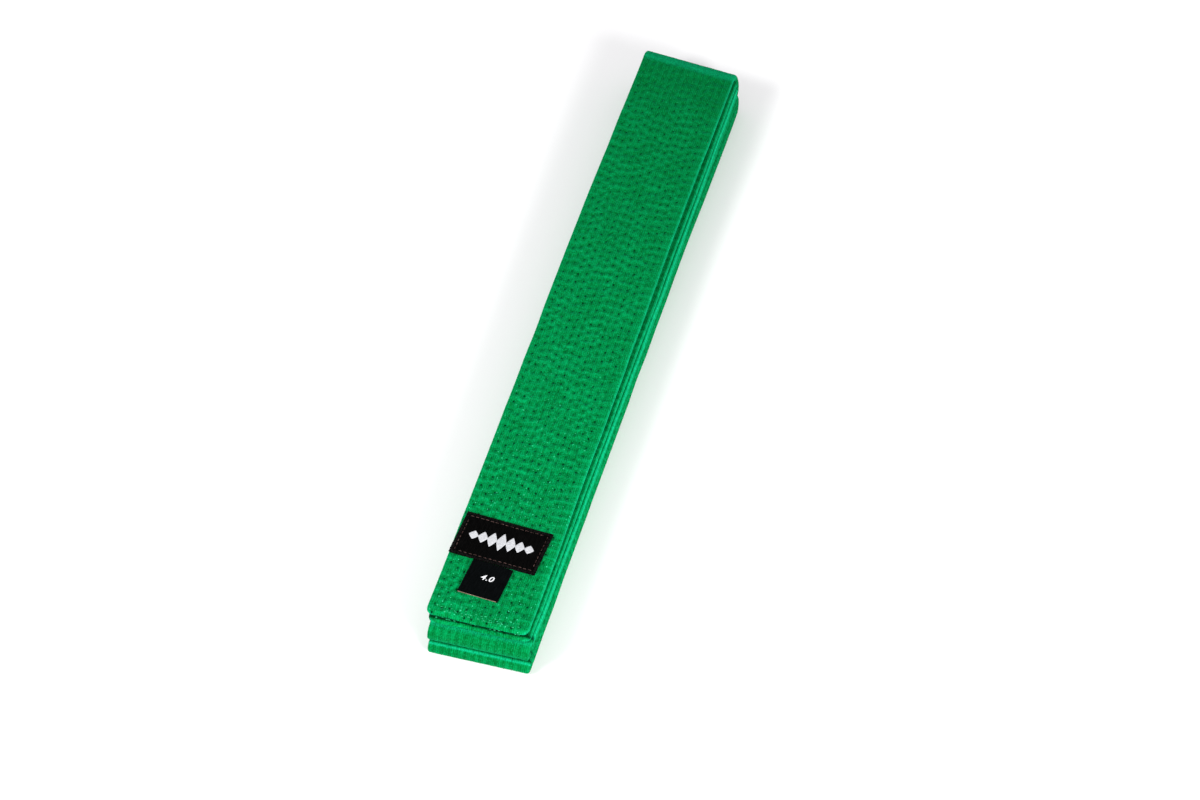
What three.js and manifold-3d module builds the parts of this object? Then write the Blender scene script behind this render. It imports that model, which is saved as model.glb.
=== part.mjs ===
// A quilted cotton martial arts belt, doubled and then folded in four into a flat pack.
// Millimetres. X runs across the belt, +Y to the pack's far end, +Z up, and z = 0 is the underside.
// The eight layers are numbered from the top: 1 and 2 end in the belt's two free ends.

import * as THREE from "three";
import Module from "manifold-3d";

// The pack
const PACK_LENGTH = 318;
const BELT_WIDTH = 40;
const BELT_THICK = 2.45;
const LAYER_PITCH = 2.75;
const LAYER_COUNT = 8;
const JOIN_GAP = 0.1;

// The belt's section: a folded cover strip round a padded core
const COVER_WALL = 0.55;
const CORE_PLAY = 0.06;
const EDGE_CHAMFER = 0.7;
const TIP_RADIUS = 2.5;

// Where the ends and folds lie along the pack
const TIP_1_Y = -PACK_LENGTH / 2 + 3.5;
const TIP_2_Y = -PACK_LENGTH / 2 + 2.4;
const LIFT_Y = TIP_1_Y + 121;
const NEST_RADIUS = 1.5 * LAYER_PITCH + BELT_THICK / 2;
const FAR_Y = PACK_LENGTH / 2 - NEST_RADIUS;
const FRONT_Y = -PACK_LENGTH / 2 + 0.8 + NEST_RADIUS;
const CENTRE_Y = -PACK_LENGTH / 2 + 0.5 * LAYER_PITCH + BELT_THICK / 2;
const BEND_STEPS = 8;

// Quilting: lengthwise rows of thread in shallow grooves on both faces
const ROW_COUNT = 12;
const ROW_PITCH = 3.05;
const FIRST_ROW_X = -BELT_WIDTH / 2 + 2.5;
const THREAD_WIDTH = 0.4;
const THREAD_DEPTH = 0.25;
const THREAD_SUNK = 0.03;
const THREAD_PLAY = 0.05;
const ROW_END_MARGIN = 1.2;
const HEM_MARGIN = 3.2;

// The woven label near the belt's first end
const PATCH_SIZE = [34.6, 21];
const PATCH_CENTRE = [-1.9, TIP_1_Y + 39.6];
const PATCH_TURN = THREE.MathUtils.degToRad(-4);
const PATCH_THICK = 0.6;
const PATCH_STITCH_INSET = 1.3;
const EMBLEM_LENGTH = 26;
const EMBLEM_HEIGHTS = [4.2, 5.6, 7.2, 8.8, 7.2, 5.6, 4.2];
const EMBLEM_THICK = 0.2;

// The folded ribbon tag under the label's near edge
const TAG_WIDTH = 16.2;
const TAG_CENTRE_X = -1.6;
const TAG_FOLD_Y = TIP_1_Y + 11.8;
const TAG_ROOT_Y = TIP_1_Y + 28;
const TAG_THICK = 0.7;
const TAG_PLY = 0.28;
const TAG_LIFT = 0.05;
const DIGIT_HEIGHT = 3.2;
const DIGIT_WIDTH = 2.0;
const DIGIT_STROKE = 0.55;
const DIGIT_THICK = 0.1;

const wasm = await Module();
wasm.setup();

// Ways to lay an outline (u, v) and a depth w along the axes, each one right-handed
const LYING = (u, v, w) => [u, v, w];
const ALONG_X = (u, v, w) => [w, u, v];
const ALONG_Y = (u, v, w) => [v, w, u];

function solid(vertices, triangles) {
  const mesh = new wasm.Mesh({
    numProp: 3,
    vertProperties: new Float32Array(vertices.flat()),
    triVerts: new Uint32Array(triangles.flat()),
  });
  mesh.merge();
  return new wasm.Manifold(mesh);
}

function prism(outline, low, high, place) {
  const n = outline.length;
  const flat = outline.map(([u, v]) => new THREE.Vector2(u, v));
  const caps = THREE.ShapeUtils.triangulateShape(flat, []);
  const vertices = [low, high].flatMap((w) => outline.map(([u, v]) => place(u, v, w)));
  const triangles = [];
  for (const [a, b, c] of caps) {
    triangles.push([a, c, b], [a + n, b + n, c + n]);
  }
  for (let i = 0; i < n; i += 1) {
    const j = (i + 1) % n;
    triangles.push([i, j, j + n], [i, j + n, i + n]);
  }
  return solid(vertices, triangles);
}

function box(x, y, z) {
  const outline = [[x[0], y[0]], [x[1], y[0]], [x[1], y[1]], [x[0], y[1]]];
  return prism(outline, z[0], z[1], LYING);
}

function union(parts) {
  return parts.reduce((whole, part) => whole.add(part));
}

// A rectangle with its corners cut off, about the origin
function chamfered(halfU, halfV, cut) {
  return [
    [halfU, -halfV + cut], [halfU, halfV - cut], [halfU - cut, halfV], [-halfU + cut, halfV],
    [-halfU, halfV - cut], [-halfU, -halfV + cut], [-halfU + cut, -halfV], [halfU - cut, -halfV],
  ];
}

// A rectangle with round corners, about the origin
function rounded(halfU, halfV, radius, steps) {
  const corners = [[1, 1, 0], [-1, 1, 90], [-1, -1, 180], [1, -1, 270]];
  return corners.flatMap(([su, sv, start]) => {
    return Array.from({ length: steps + 1 }, (_, k) => {
      const angle = THREE.MathUtils.degToRad(start + (90 * k) / steps);
      const u = su * (halfU - radius) + radius * Math.cos(angle);
      const v = sv * (halfV - radius) + radius * Math.sin(angle);
      return [u, v];
    });
  });
}

function moved(outline, du, dv, turn = 0) {
  const c = Math.cos(turn);
  const s = Math.sin(turn);
  return outline.map(([u, v]) => [u * c - v * s + du, u * s + v * c + dv]);
}

function layerZ(layer) {
  return BELT_THICK / 2 + (LAYER_COUNT - layer) * LAYER_PITCH;
}

// A straight length of belt section, thinner than the belt by inset on every side
function bar(layer, inset, nearY, farY) {
  const section = chamfered(BELT_THICK / 2 - inset, BELT_WIDTH / 2 - inset, EDGE_CHAMFER - inset / 2);
  return prism(moved(section, layerZ(layer), 0), nearY, farY, ALONG_Y);
}

// The belt's round-cornered free end, seen from above
function tipPlan(inset, nearY, farY) {
  const halfLength = (farY - nearY) / 2 + 10;
  const outline = rounded(BELT_WIDTH / 2 - inset, halfLength, TIP_RADIUS - inset, 4);
  return prism(moved(outline, 0, nearY + inset + halfLength), -5, 40, LYING);
}

// The quilting thread of one straight run: a row wanders to and fro on each face,
// and one stitch through the belt joins the two faces
function quilting(layer, nearY, farY, grow, open) {
  const half = THREAD_WIDTH / 2 + grow;
  const top = layerZ(layer) + BELT_THICK / 2;
  const bottom = layerZ(layer) - BELT_THICK / 2;
  const upper = [top - THREAD_DEPTH - THREAD_SUNK - grow, top - THREAD_SUNK + open];
  const lower = [bottom + THREAD_SUNK - open, bottom + THREAD_DEPTH + THREAD_SUNK + grow];
  const near = nearY + ROW_END_MARGIN;
  const far = farY - ROW_END_MARGIN;
  const parts = [];
  for (let row = 0; row < ROW_COUNT; row += 1) {
    const x = FIRST_ROW_X + row * ROW_PITCH;
    for (const z of [upper, lower]) {
      parts.push(box([x - half, x + half], [near - half, far + half], z));
      if (row > 0) {
        const y = row % 2 ? far : near;
        parts.push(box([x - ROW_PITCH, x], [y - half, y + half], z));
      }
    }
  }
  const through = [bottom + THREAD_SUNK + 0.05, top - THREAD_SUNK - 0.05];
  parts.push(box([FIRST_ROW_X - half, FIRST_ROW_X + half], [near - half, near + half], through));
  return union(parts);
}

function hemStitching(layer, tipY, grow, open) {
  const half = THREAD_WIDTH / 2 + grow;
  const top = layerZ(layer) + BELT_THICK / 2;
  const z = [top - THREAD_DEPTH - THREAD_SUNK - grow, top - THREAD_SUNK + open];
  const y = tipY + HEM_MARGIN - 1.4;
  return box([-17.2 - grow, 17.2 + grow], [y - half, y + half], z);
}

// One straight run: its cover, core and thread. A free end has a tip and a hem row.
function run(layer, nearY, farY, freeEnd) {
  const rowsFrom = freeEnd ? nearY + HEM_MARGIN - ROW_END_MARGIN : nearY;
  const groove = quilting(layer, rowsFrom, farY, THREAD_PLAY, 1);
  let cover = bar(layer, 0, nearY, farY);
  let cavity = bar(layer, COVER_WALL, nearY - 1, farY + 1);
  let core = bar(layer, COVER_WALL + CORE_PLAY, nearY, farY);
  if (freeEnd) {
    cover = cover.intersect(tipPlan(0, nearY, farY));
    cavity = cavity.intersect(tipPlan(COVER_WALL, nearY, farY));
    core = core.intersect(tipPlan(COVER_WALL + CORE_PLAY, nearY, farY));
    cover = cover.subtract(hemStitching(layer, nearY, THREAD_PLAY, 1));
  }
  const pieces = {
    cover: cover.subtract(cavity).subtract(groove),
    core: core.subtract(groove),
    quilting: quilting(layer, rowsFrom, farY, 0, 0),
  };
  if (freeEnd) {
    pieces.hem_stitching = hemStitching(layer, nearY, 0, 0);
  }
  return pieces;
}

// A half turn of belt section about a line across the pack, with a step past level at each end
// when it is a cavity that must run out of the ends
function halfTurn(bight, inset, past) {
  const { side, y, z, radius } = bight;
  const ring = chamfered(BELT_THICK / 2 - inset, BELT_WIDTH / 2 - inset, EDGE_CHAMFER - inset / 2);
  const n = ring.length;
  const steps = Array.from({ length: BEND_STEPS + 1 }, (_, k) => Math.PI * (k / BEND_STEPS - 0.5));
  const angles = past > 0 ? [steps[0] - past, ...steps, steps[BEND_STEPS] + past] : steps;
  const vertices = [];
  const triangles = [];
  for (const step of angles) {
    const angle = side * step;
    for (const [depth, x] of ring) {
      const r = radius + depth;
      vertices.push([x, y + side * r * Math.cos(angle), z + r * Math.sin(angle)]);
    }
  }
  for (let k = 0; k < angles.length - 1; k += 1) {
    for (let i = 0; i < n; i += 1) {
      const a = k * n + i;
      const b = k * n + ((i + 1) % n);
      triangles.push([a, b + n, b], [a, a + n, b + n]);
    }
  }
  const last = (angles.length - 1) * n;
  for (let i = 1; i < n - 1; i += 1) {
    triangles.push([0, i, i + 1], [last, last + i + 1, last + i]);
  }
  return solid(vertices, triangles);
}

function bightPieces(bight) {
  const shell = halfTurn(bight, 0, 0);
  return {
    cover: shell.subtract(halfTurn(bight, COVER_WALL, 0.12)),
    core: halfTurn(bight, COVER_WALL + CORE_PLAY, 0),
  };
}

function frameOutline(halfU, halfV, low, high, half, place) {
  const outer = prism(place(rounded(halfU + half, halfV + half, 1, 2)), low, high, LYING);
  const inner = prism(place(rounded(halfU - half, halfV - half, 0.8, 2)), low - 1, high + 1, LYING);
  return outer.subtract(inner);
}

// The label: a woven patch, its border stitching in a groove, and a chain of lozenges
function labelPieces() {
  const base = layerZ(1) + BELT_THICK / 2 + 0.02;
  const top = base + PATCH_THICK;
  const place = (outline) => moved(outline, PATCH_CENTRE[0], PATCH_CENTRE[1], PATCH_TURN);
  const [halfU, halfV] = PATCH_SIZE.map((size) => size / 2);
  const seamU = halfU - PATCH_STITCH_INSET;
  const seamV = halfV - PATCH_STITCH_INSET;
  const groove = frameOutline(seamU, seamV, top - 0.25, top + 1, 0.25, place);
  const patch = prism(place(rounded(halfU, halfV, 0.8, 2)), base, top, LYING).subtract(groove);
  const step = EMBLEM_LENGTH / EMBLEM_HEIGHTS.length;
  const low = top + 0.02;
  const high = low + EMBLEM_THICK;
  const spine = chamfered(EMBLEM_LENGTH / 2 - 1, 0.25, 0.05);
  const lozenges = EMBLEM_HEIGHTS.map((height, i) => {
    const u = (i - (EMBLEM_HEIGHTS.length - 1) / 2) * step;
    const outline = [[u + 0.46 * step, 0], [u, height / 2], [u - 0.46 * step, 0], [u, -height / 2]];
    return prism(place(outline), low, high, LYING);
  });
  return {
    patch,
    patch_stitching: frameOutline(seamU, seamV, top - 0.22, top + 0.05, 0.2, place),
    emblem: union([prism(place(spine), low, high, LYING), ...lozenges]),
  };
}

function tagPieces() {
  const base = layerZ(1) + BELT_THICK / 2 + TAG_LIFT;
  const half = TAG_THICK / 2;
  const middle = base + half;
  const fold = Array.from({ length: 7 }, (_, k) => {
    const angle = Math.PI / 2 + (Math.PI * k) / 6;
    return [TAG_FOLD_Y + half + half * Math.cos(angle), middle + half * Math.sin(angle)];
  });
  const gap = half - TAG_PLY;
  const low = TAG_CENTRE_X - TAG_WIDTH / 2;
  const high = TAG_CENTRE_X + TAG_WIDTH / 2;
  const outline = [[TAG_ROOT_Y, middle + half], ...fold, [TAG_ROOT_Y, middle - half]];
  const inside = [
    [TAG_ROOT_Y + 1, middle - gap], [TAG_ROOT_Y + 1, middle + gap],
    [TAG_FOLD_Y + half, middle + gap], [TAG_FOLD_Y + half, middle - gap],
  ];
  const ribbon = prism(outline, low, high, ALONG_X).subtract(prism(inside, low - 1, high + 1, ALONG_X));
  const face = base + TAG_THICK + 0.02;
  const digitY = (TAG_FOLD_Y + TAG_ROOT_Y) / 2;
  const u = DIGIT_WIDTH / 2;
  const v = DIGIT_HEIGHT / 2;
  const s = DIGIT_STROKE;
  const stroke = (points, x) => prism(moved(points, x, digitY), face, face + DIGIT_THICK, LYING);
  const leftX = TAG_CENTRE_X - 1.45;
  const rightX = TAG_CENTRE_X + 1.45;
  const four = union([
    stroke([[u - 1.5 * s, -v], [u - 0.5 * s, -v], [u - 0.5 * s, v], [u - 1.5 * s, v]], leftX),
    stroke([[-u, -v + 0.7], [u, -v + 0.7], [u, -v + 0.7 + s], [-u, -v + 0.7 + s]], leftX),
    stroke([[-u, -v + 0.8], [-u + s, -v + 0.8], [u - 0.6 * s, v], [u - 1.5 * s, v]], leftX),
  ]);
  const pointX = [TAG_CENTRE_X - s / 2, TAG_CENTRE_X + s / 2];
  const rim = stroke(rounded(u, v, u * 0.95, 6), rightX);
  const eyeOutline = moved(rounded(u - s, v - s, (u - s) * 0.95, 6), rightX, digitY);
  const eye = prism(eyeOutline, face - 1, face + 1, LYING);
  return {
    ribbon,
    digit_left: four,
    digit_right: rim.subtract(eye),
    point: box(pointX, [digitY - v, digitY - v + s], [face, face + 0.1]),
  };
}

const COLOURS = {
  cover: "#0b8a4c",
  core: "#d9d6cb",
  thread: "#0d7a45",
  label: "#17171a",
  labelThread: "#3a2f2a",
  white: "#e9e8e4",
};

const belt = new THREE.Group();
belt.name = "folded_belt";

function put(name, manifold, colour, roughness = 0.9) {
  const { vertProperties, triVerts, numProp } = manifold.getMesh();
  const positions = new Float32Array((vertProperties.length / numProp) * 3);
  for (let i = 0; i < positions.length / 3; i += 1) {
    positions.set(vertProperties.subarray(i * numProp, i * numProp + 3), i * 3);
  }
  const geometry = new THREE.BufferGeometry();
  geometry.setAttribute("position", new THREE.BufferAttribute(positions, 3));
  geometry.setIndex(new THREE.BufferAttribute(new Uint32Array(triVerts), 1));
  geometry.computeVertexNormals();
  const mesh = new THREE.Mesh(geometry, new THREE.MeshStandardMaterial({ color: colour, roughness }));
  mesh.name = name;
  belt.add(mesh);
}

const RUN_COLOURS = {
  cover: COLOURS.cover,
  core: COLOURS.core,
  quilting: COLOURS.thread,
  hem_stitching: COLOURS.thread,
};

// The straight runs, from the top layer down
const RUNS = [
  ["label_end", 1, TIP_1_Y, LIFT_Y - JOIN_GAP, true],
  ["run_1", 1, LIFT_Y + JOIN_GAP, FAR_Y - JOIN_GAP, false],
  ["run_2", 2, TIP_2_Y, FAR_Y - JOIN_GAP, true],
  ["run_3", 3, FRONT_Y + JOIN_GAP, FAR_Y - JOIN_GAP, false],
  ["run_4", 4, FRONT_Y + JOIN_GAP, FAR_Y - JOIN_GAP, false],
  ["run_5", 5, FRONT_Y + JOIN_GAP, FAR_Y - JOIN_GAP, false],
  ["run_6", 6, FRONT_Y + JOIN_GAP, FAR_Y - JOIN_GAP, false],
  ["run_7", 7, CENTRE_Y + JOIN_GAP, FAR_Y - JOIN_GAP, false],
  ["run_8", 8, CENTRE_Y + JOIN_GAP, FAR_Y - JOIN_GAP, false],
];
for (const [name, layer, nearY, farY, freeEnd] of RUNS) {
  for (const [piece, manifold] of Object.entries(run(layer, nearY, farY, freeEnd))) {
    put(`${name}_${piece}`, manifold, RUN_COLOURS[piece]);
  }
}

// The bights: each joins two layers round the line between the middle two of its nest
const BIGHTS = [
  ["bight_upper_far_outer", 1, FAR_Y, 2.5, 1.5],
  ["bight_upper_far_inner", 1, FAR_Y, 2.5, 0.5],
  ["bight_front_outer", -1, FRONT_Y, 4.5, 1.5],
  ["bight_front_inner", -1, FRONT_Y, 4.5, 0.5],
  ["bight_lower_far_outer", 1, FAR_Y, 6.5, 1.5],
  ["bight_lower_far_inner", 1, FAR_Y, 6.5, 0.5],
  ["bight_centre", -1, CENTRE_Y, 7.5, 0.5],
];
for (const [name, side, y, layer, pitches] of BIGHTS) {
  const bight = { side, y, z: layerZ(layer), radius: pitches * LAYER_PITCH };
  for (const [piece, manifold] of Object.entries(bightPieces(bight))) {
    put(`${name}_${piece}`, manifold, RUN_COLOURS[piece]);
  }
}

const label = labelPieces();
put("label_patch", label.patch, COLOURS.label);
put("label_patch_stitching", label.patch_stitching, COLOURS.labelThread);
put("label_emblem", label.emblem, COLOURS.white);

const tag = tagPieces();
put("size_tag", tag.ribbon, COLOURS.label, 0.6);
put("size_tag_digit_left", tag.digit_left, COLOURS.white);
put("size_tag_point", tag.point, COLOURS.white);
put("size_tag_digit_right", tag.digit_right, COLOURS.white);

export default belt;
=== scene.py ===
# %% [markdown]
# # A folded martial arts belt
# A judo or karate belt is a strip of cotton cloth wrapped round several plies of padding and
# sewn through along its whole length in close rows. This one was doubled, so that both of its
# free ends lie together, and then folded like a letter Z into a flat pack of eight layers.
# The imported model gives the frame: X runs across the belt, +Y to the far folds and +Z up.

import bmesh
import bpy
import numpy as np
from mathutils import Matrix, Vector


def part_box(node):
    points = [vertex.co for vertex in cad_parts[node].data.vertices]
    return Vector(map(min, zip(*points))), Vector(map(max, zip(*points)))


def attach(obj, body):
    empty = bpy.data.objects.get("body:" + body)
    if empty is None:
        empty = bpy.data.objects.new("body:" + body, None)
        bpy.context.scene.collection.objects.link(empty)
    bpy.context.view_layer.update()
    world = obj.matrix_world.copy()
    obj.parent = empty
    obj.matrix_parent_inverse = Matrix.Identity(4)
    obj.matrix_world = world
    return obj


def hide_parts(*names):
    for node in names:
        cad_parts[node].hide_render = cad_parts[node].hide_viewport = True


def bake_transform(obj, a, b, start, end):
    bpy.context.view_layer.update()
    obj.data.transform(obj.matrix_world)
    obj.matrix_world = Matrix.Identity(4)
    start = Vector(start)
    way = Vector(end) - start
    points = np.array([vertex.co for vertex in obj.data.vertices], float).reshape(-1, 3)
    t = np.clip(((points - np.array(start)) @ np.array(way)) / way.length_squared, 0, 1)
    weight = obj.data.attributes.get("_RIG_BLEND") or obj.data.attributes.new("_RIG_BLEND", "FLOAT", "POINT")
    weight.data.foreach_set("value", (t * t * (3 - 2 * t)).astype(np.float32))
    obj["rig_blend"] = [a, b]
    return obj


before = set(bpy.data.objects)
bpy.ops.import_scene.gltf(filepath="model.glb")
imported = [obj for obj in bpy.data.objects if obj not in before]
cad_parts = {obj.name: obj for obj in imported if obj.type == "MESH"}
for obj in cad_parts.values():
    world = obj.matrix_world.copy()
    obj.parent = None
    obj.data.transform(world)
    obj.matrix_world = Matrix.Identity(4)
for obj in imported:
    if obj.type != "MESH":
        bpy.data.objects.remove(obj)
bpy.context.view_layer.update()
MM = 0.001


def box_mm(node):
    """A node's lowest and highest corners, in millimetres."""
    low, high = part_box(node)
    return np.array(low) / MM, np.array(high) / MM


# %% [markdown]
# ## Studio
# The pack lies on a plain white table under soft light. A long lens a good distance away keeps
# the pack's long sides nearly parallel. The camera stands to the right of the near end and
# looks down at about fifty degrees.

# %% Camera
AZIMUTH = np.radians(15.9)
ELEVATION = np.radians(47.6)
DISTANCE = 1.78
LENS = 134.6
pack_middle = np.array([0.0, 0.0, 0.011])
back = np.array([
    np.sin(AZIMUTH) * np.cos(ELEVATION),
    -np.cos(AZIMUTH) * np.cos(ELEVATION),
    np.sin(ELEVATION),
])
right = np.array([np.cos(AZIMUTH), np.sin(AZIMUTH), 0.0])
up = np.cross(back, right)
aim = pack_middle + 0.0042 * right - 0.0216 * up
camera = bpy.data.objects.new("camera", bpy.data.cameras.new("camera"))
camera.data.sensor_width = 36.0
camera.data.lens = LENS
camera.data.clip_start = 0.05
camera.data.clip_end = 50.0
camera.location = pack_middle + DISTANCE * back
camera.rotation_mode = "QUATERNION"
camera.rotation_quaternion = (Vector(aim) - camera.location).to_track_quat("-Z", "Y")
bpy.context.scene.collection.objects.link(camera)
bpy.context.scene.camera = camera
print("camera at, m:", [round(c, 3) for c in camera.location])

# %% [markdown]
# Cotton is matt, so it shows its quilting only if the light slants. One lamp stands high on
# the left of the near end and one lower on the right, which also lights the pack's edges. Each
# softens the other's shadow, and an even sky keeps the table white. The colours are shown
# plainly, without a film curve, because that would wash out the strong green.


# %% Lamps, sky and table
def add_lamp(name, place, target, size, power):
    """A square lamp of that size in metres, aimed from its place at a target."""
    lamp = bpy.data.objects.new(name, bpy.data.lights.new(name, "AREA"))
    lamp.data.shape = "SQUARE"
    lamp.data.size = size
    lamp.data.energy = power
    lamp.location = place
    lamp.rotation_mode = "QUATERNION"
    lamp.rotation_quaternion = (Vector(target) - Vector(place)).to_track_quat("-Z", "Y")
    bpy.context.scene.collection.objects.link(lamp)
    return lamp


add_lamp("left", (-0.62, -0.72, 0.80), (0.0, 0.0, 0.0), 0.42, 11.5)
add_lamp("right", (0.82, -0.70, 0.52), (0.0, 0.0, 0.0), 0.42, 15.0)
world = bpy.data.worlds.new("sky")
bpy.context.scene.world = world
world.use_nodes = True
world.node_tree.nodes["Background"].inputs["Color"].default_value = (0.99, 0.975, 1.0, 1.0)
world.node_tree.nodes["Background"].inputs["Strength"].default_value = 0.60
bpy.context.scene.view_settings.view_transform = "Standard"

table_mesh = bpy.data.meshes.new("table")
table_mesh.from_pydata([(-6, -6, 0), (6, -6, 0), (6, 6, 0), (-6, 6, 0)], [], [(0, 1, 2, 3)])
table = bpy.data.objects.new("table", table_mesh)
bpy.context.scene.collection.objects.link(table)
table.location.z = -0.0002
table_paint = bpy.data.materials.new("table")
table_paint.use_nodes = True
table_shader = table_paint.node_tree.nodes["Principled BSDF"].inputs
table_shader["Base Color"].default_value = (0.93, 0.93, 0.93, 1.0)
table_shader["Roughness"].default_value = 0.8
table_mesh.materials.append(table_paint)

# %% [markdown]
# ## Tools for materials
# Every finish here is procedural. These helpers add nodes, so that a material reads as a list
# of steps. A group holds an effect that several materials share, and its values are inputs.


# %% Node helpers
class Steps:
    """Adds nodes to one tree; each call returns the new node's output."""

    def __init__(self, tree):
        self.tree = tree

    def node(self, kind, **settings):
        made = self.tree.nodes.new(kind)
        for key, value in settings.items():
            setattr(made, key, value)
        return made

    def feed(self, socket, value):
        if isinstance(value, bpy.types.NodeSocket):
            self.tree.links.new(value, socket)
        elif value is not None:
            socket.default_value = value

    def math(self, operation, a, b=None, c=None):
        made = self.node("ShaderNodeMath", operation=operation)
        for socket, value in zip(made.inputs, (a, b, c)):
            self.feed(socket, value)
        return made.outputs[0]

    def mix(self, factor, a, b, blend="MIX"):
        made = self.node("ShaderNodeMix", data_type="RGBA", blend_type=blend)
        self.feed(made.inputs["Factor"], factor)
        self.feed(made.inputs[6], a)
        self.feed(made.inputs[7], b)
        return made.outputs[2]

    def ramp(self, value, low, high, out_low=0.0, out_high=1.0):
        made = self.node("ShaderNodeMapRange", interpolation_type="SMOOTHSTEP")
        self.feed(made.inputs["Value"], value)
        made.inputs["From Min"].default_value = low
        made.inputs["From Max"].default_value = high
        made.inputs["To Min"].default_value = out_low
        made.inputs["To Max"].default_value = out_high
        return made.outputs["Result"]

    def noise(self, vector, scale, detail=2.0, roughness=0.5):
        made = self.node("ShaderNodeTexNoise")
        self.feed(made.inputs["Vector"], vector)
        made.inputs["Scale"].default_value = scale
        made.inputs["Detail"].default_value = detail
        made.inputs["Roughness"].default_value = roughness
        return made.outputs["Fac"]

    def stretch(self, vector, scale):
        made = self.node("ShaderNodeMapping")
        self.feed(made.inputs["Vector"], vector)
        made.inputs["Scale"].default_value = scale
        return made.outputs["Vector"]

    def bump(self, height, strength, distance, normal=None):
        made = self.node("ShaderNodeBump")
        self.feed(made.inputs["Height"], height)
        made.inputs["Strength"].default_value = strength
        made.inputs["Distance"].default_value = distance
        self.feed(made.inputs["Normal"], normal)
        return made.outputs["Normal"]

    def group(self, tree, **values):
        made = self.node("ShaderNodeGroup", node_tree=tree)
        for key, value in values.items():
            self.feed(made.inputs[key.replace("_", " ")], value)
        return made.outputs


def new_group(name, inputs, outputs):
    """An empty node group with sockets of the given kinds, and its steps."""
    tree = bpy.data.node_groups.new(name, "ShaderNodeTree")
    for direction, sockets in (("INPUT", inputs), ("OUTPUT", outputs)):
        for socket_name, kind in sockets:
            tree.interface.new_socket(socket_name, in_out=direction, socket_type=kind)
    steps = Steps(tree)
    source = steps.node("NodeGroupInput").outputs
    sink = steps.node("NodeGroupOutput").inputs
    return tree, steps, source, sink


def new_material(name, roughness, sheen, **values):
    """A material with one Principled shader, and the steps to feed it."""
    material = bpy.data.materials.new(name)
    material.use_nodes = True
    shader = material.node_tree.nodes["Principled BSDF"]
    shader.inputs["Roughness"].default_value = roughness
    shader.inputs["Sheen Weight"].default_value = sheen
    shader.inputs["Sheen Roughness"].default_value = 0.45
    shader.inputs["Specular IOR Level"].default_value = 0.015
    for key, value in values.items():
        shader.inputs[key.replace("_", " ")].default_value = value
    return material, Steps(material.node_tree), shader.inputs


VECTOR = "NodeSocketVector"
VALUE = "NodeSocketFloat"

# %% [markdown]
# ## Weave
# Woven cloth is two sets of threads that pass over and under each other. Two crossed sine waves
# give the rounded threads, and a checker of their signs says which one is on top. Spun cotton
# is uneven, so noise stretched along each thread varies its brightness. The pattern reads the
# cloth's own map, which runs in millimetres across and along each piece, so it follows folds.


# %% The weave group
weave, s, source, sink = new_group(
    "weave",
    [("Map", VECTOR), ("Across mm", VALUE), ("Along mm", VALUE)],
    [("Height", VALUE), ("Warp", VALUE), ("Fleck", VALUE)],
)
parts = s.node("ShaderNodeSeparateXYZ")
s.feed(parts.inputs[0], source["Map"])
wobble = s.math("MULTIPLY", s.noise(source["Map"], 0.9, 2.0), 0.5)
across = s.math("DIVIDE", s.math("ADD", parts.outputs["X"], wobble), source["Across mm"])
along = s.math("DIVIDE", s.math("ADD", parts.outputs["Y"], wobble), source["Along mm"])
wave_across = s.math("SINE", s.math("MULTIPLY", across, 2 * np.pi))
wave_along = s.math("SINE", s.math("MULTIPLY", along, 2 * np.pi))
crossing = s.math("MULTIPLY", wave_across, wave_along)
strand = s.math("MULTIPLY_ADD", wave_across, 0.6, s.math("MULTIPLY", wave_along, 0.25))
s.feed(sink["Height"], s.math("MULTIPLY_ADD", crossing, 0.5, strand))
streaks = s.noise(s.stretch(source["Map"], (1.6, 0.30, 1.0)), 1.0, 3.0, 0.65)
s.feed(sink["Warp"], s.math("MULTIPLY_ADD", wave_across, 0.13, streaks))
s.feed(sink["Fleck"], s.ramp(s.noise(source["Map"], 1.15, 1.0), 0.68, 0.76))
print("group:", weave.name)

# %% [markdown]
# ## Quilting marks
# The needle leaves a small hole wherever the thread dives through the belt, and shade is
# painted into it. Twelve rows run side by side, and the holes of one row drift against the
# next, since the needles don't keep exact step. Three slow sine waves of the row number and the
# distance along the belt give the drift. The same formula places the holes here and the real
# threads further on. Each hole also has three random numbers of its own: two move it a little
# and one sets how dark its painted shade is.

# %% The quilting's measures
ROWS = 12
ROW_PITCH = 3.05
FIRST_ROW = -17.5
STITCH = 4.4
DRIFT = [(0.31, 2.4, 0.0), (0.23, 0.9, 1 / 23), (0.15, 4.1, -1 / 11)]
HOLE_RADIUS = (0.56, 0.74)
HOLE_STRAY = (0.6, 1.1)


def drift(row, s_mm):
    """The row's shift in stitches: a sum of amount * sin(row * a + distance * b)."""
    return sum(amount * np.sin(row * a + s_mm * b) for amount, a, b in DRIFT)


# %% The quilting group
quilt_marks, s, source, sink = new_group(
    "quilt marks",
    [("Map", VECTOR)],
    [("Hole", VALUE), ("Valley", VALUE), ("Pucker", VALUE)],
)
parts = s.node("ShaderNodeSeparateXYZ")
s.feed(parts.inputs[0], source["Map"])
x_mm, s_mm = parts.outputs["X"], parts.outputs["Y"]
row = s.math("ROUND", s.math("DIVIDE", s.math("SUBTRACT", x_mm, FIRST_ROW), ROW_PITCH))
row = s.math("MINIMUM", s.math("MAXIMUM", row, 0.0), ROWS - 1.0)
aside = s.math("SUBTRACT", x_mm, s.math("MULTIPLY_ADD", row, ROW_PITCH, FIRST_ROW))
turn = s.math("DIVIDE", s_mm, STITCH)
for amount, a, b in DRIFT:
    angle = s.math("MULTIPLY_ADD", row, a, s.math("MULTIPLY", s_mm, b))
    turn = s.math("MULTIPLY_ADD", s.math("SINE", angle), amount, turn)
past = s.math("SUBTRACT", s.math("FRACT", s.math("ADD", turn, 0.5)), 0.5)
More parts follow.
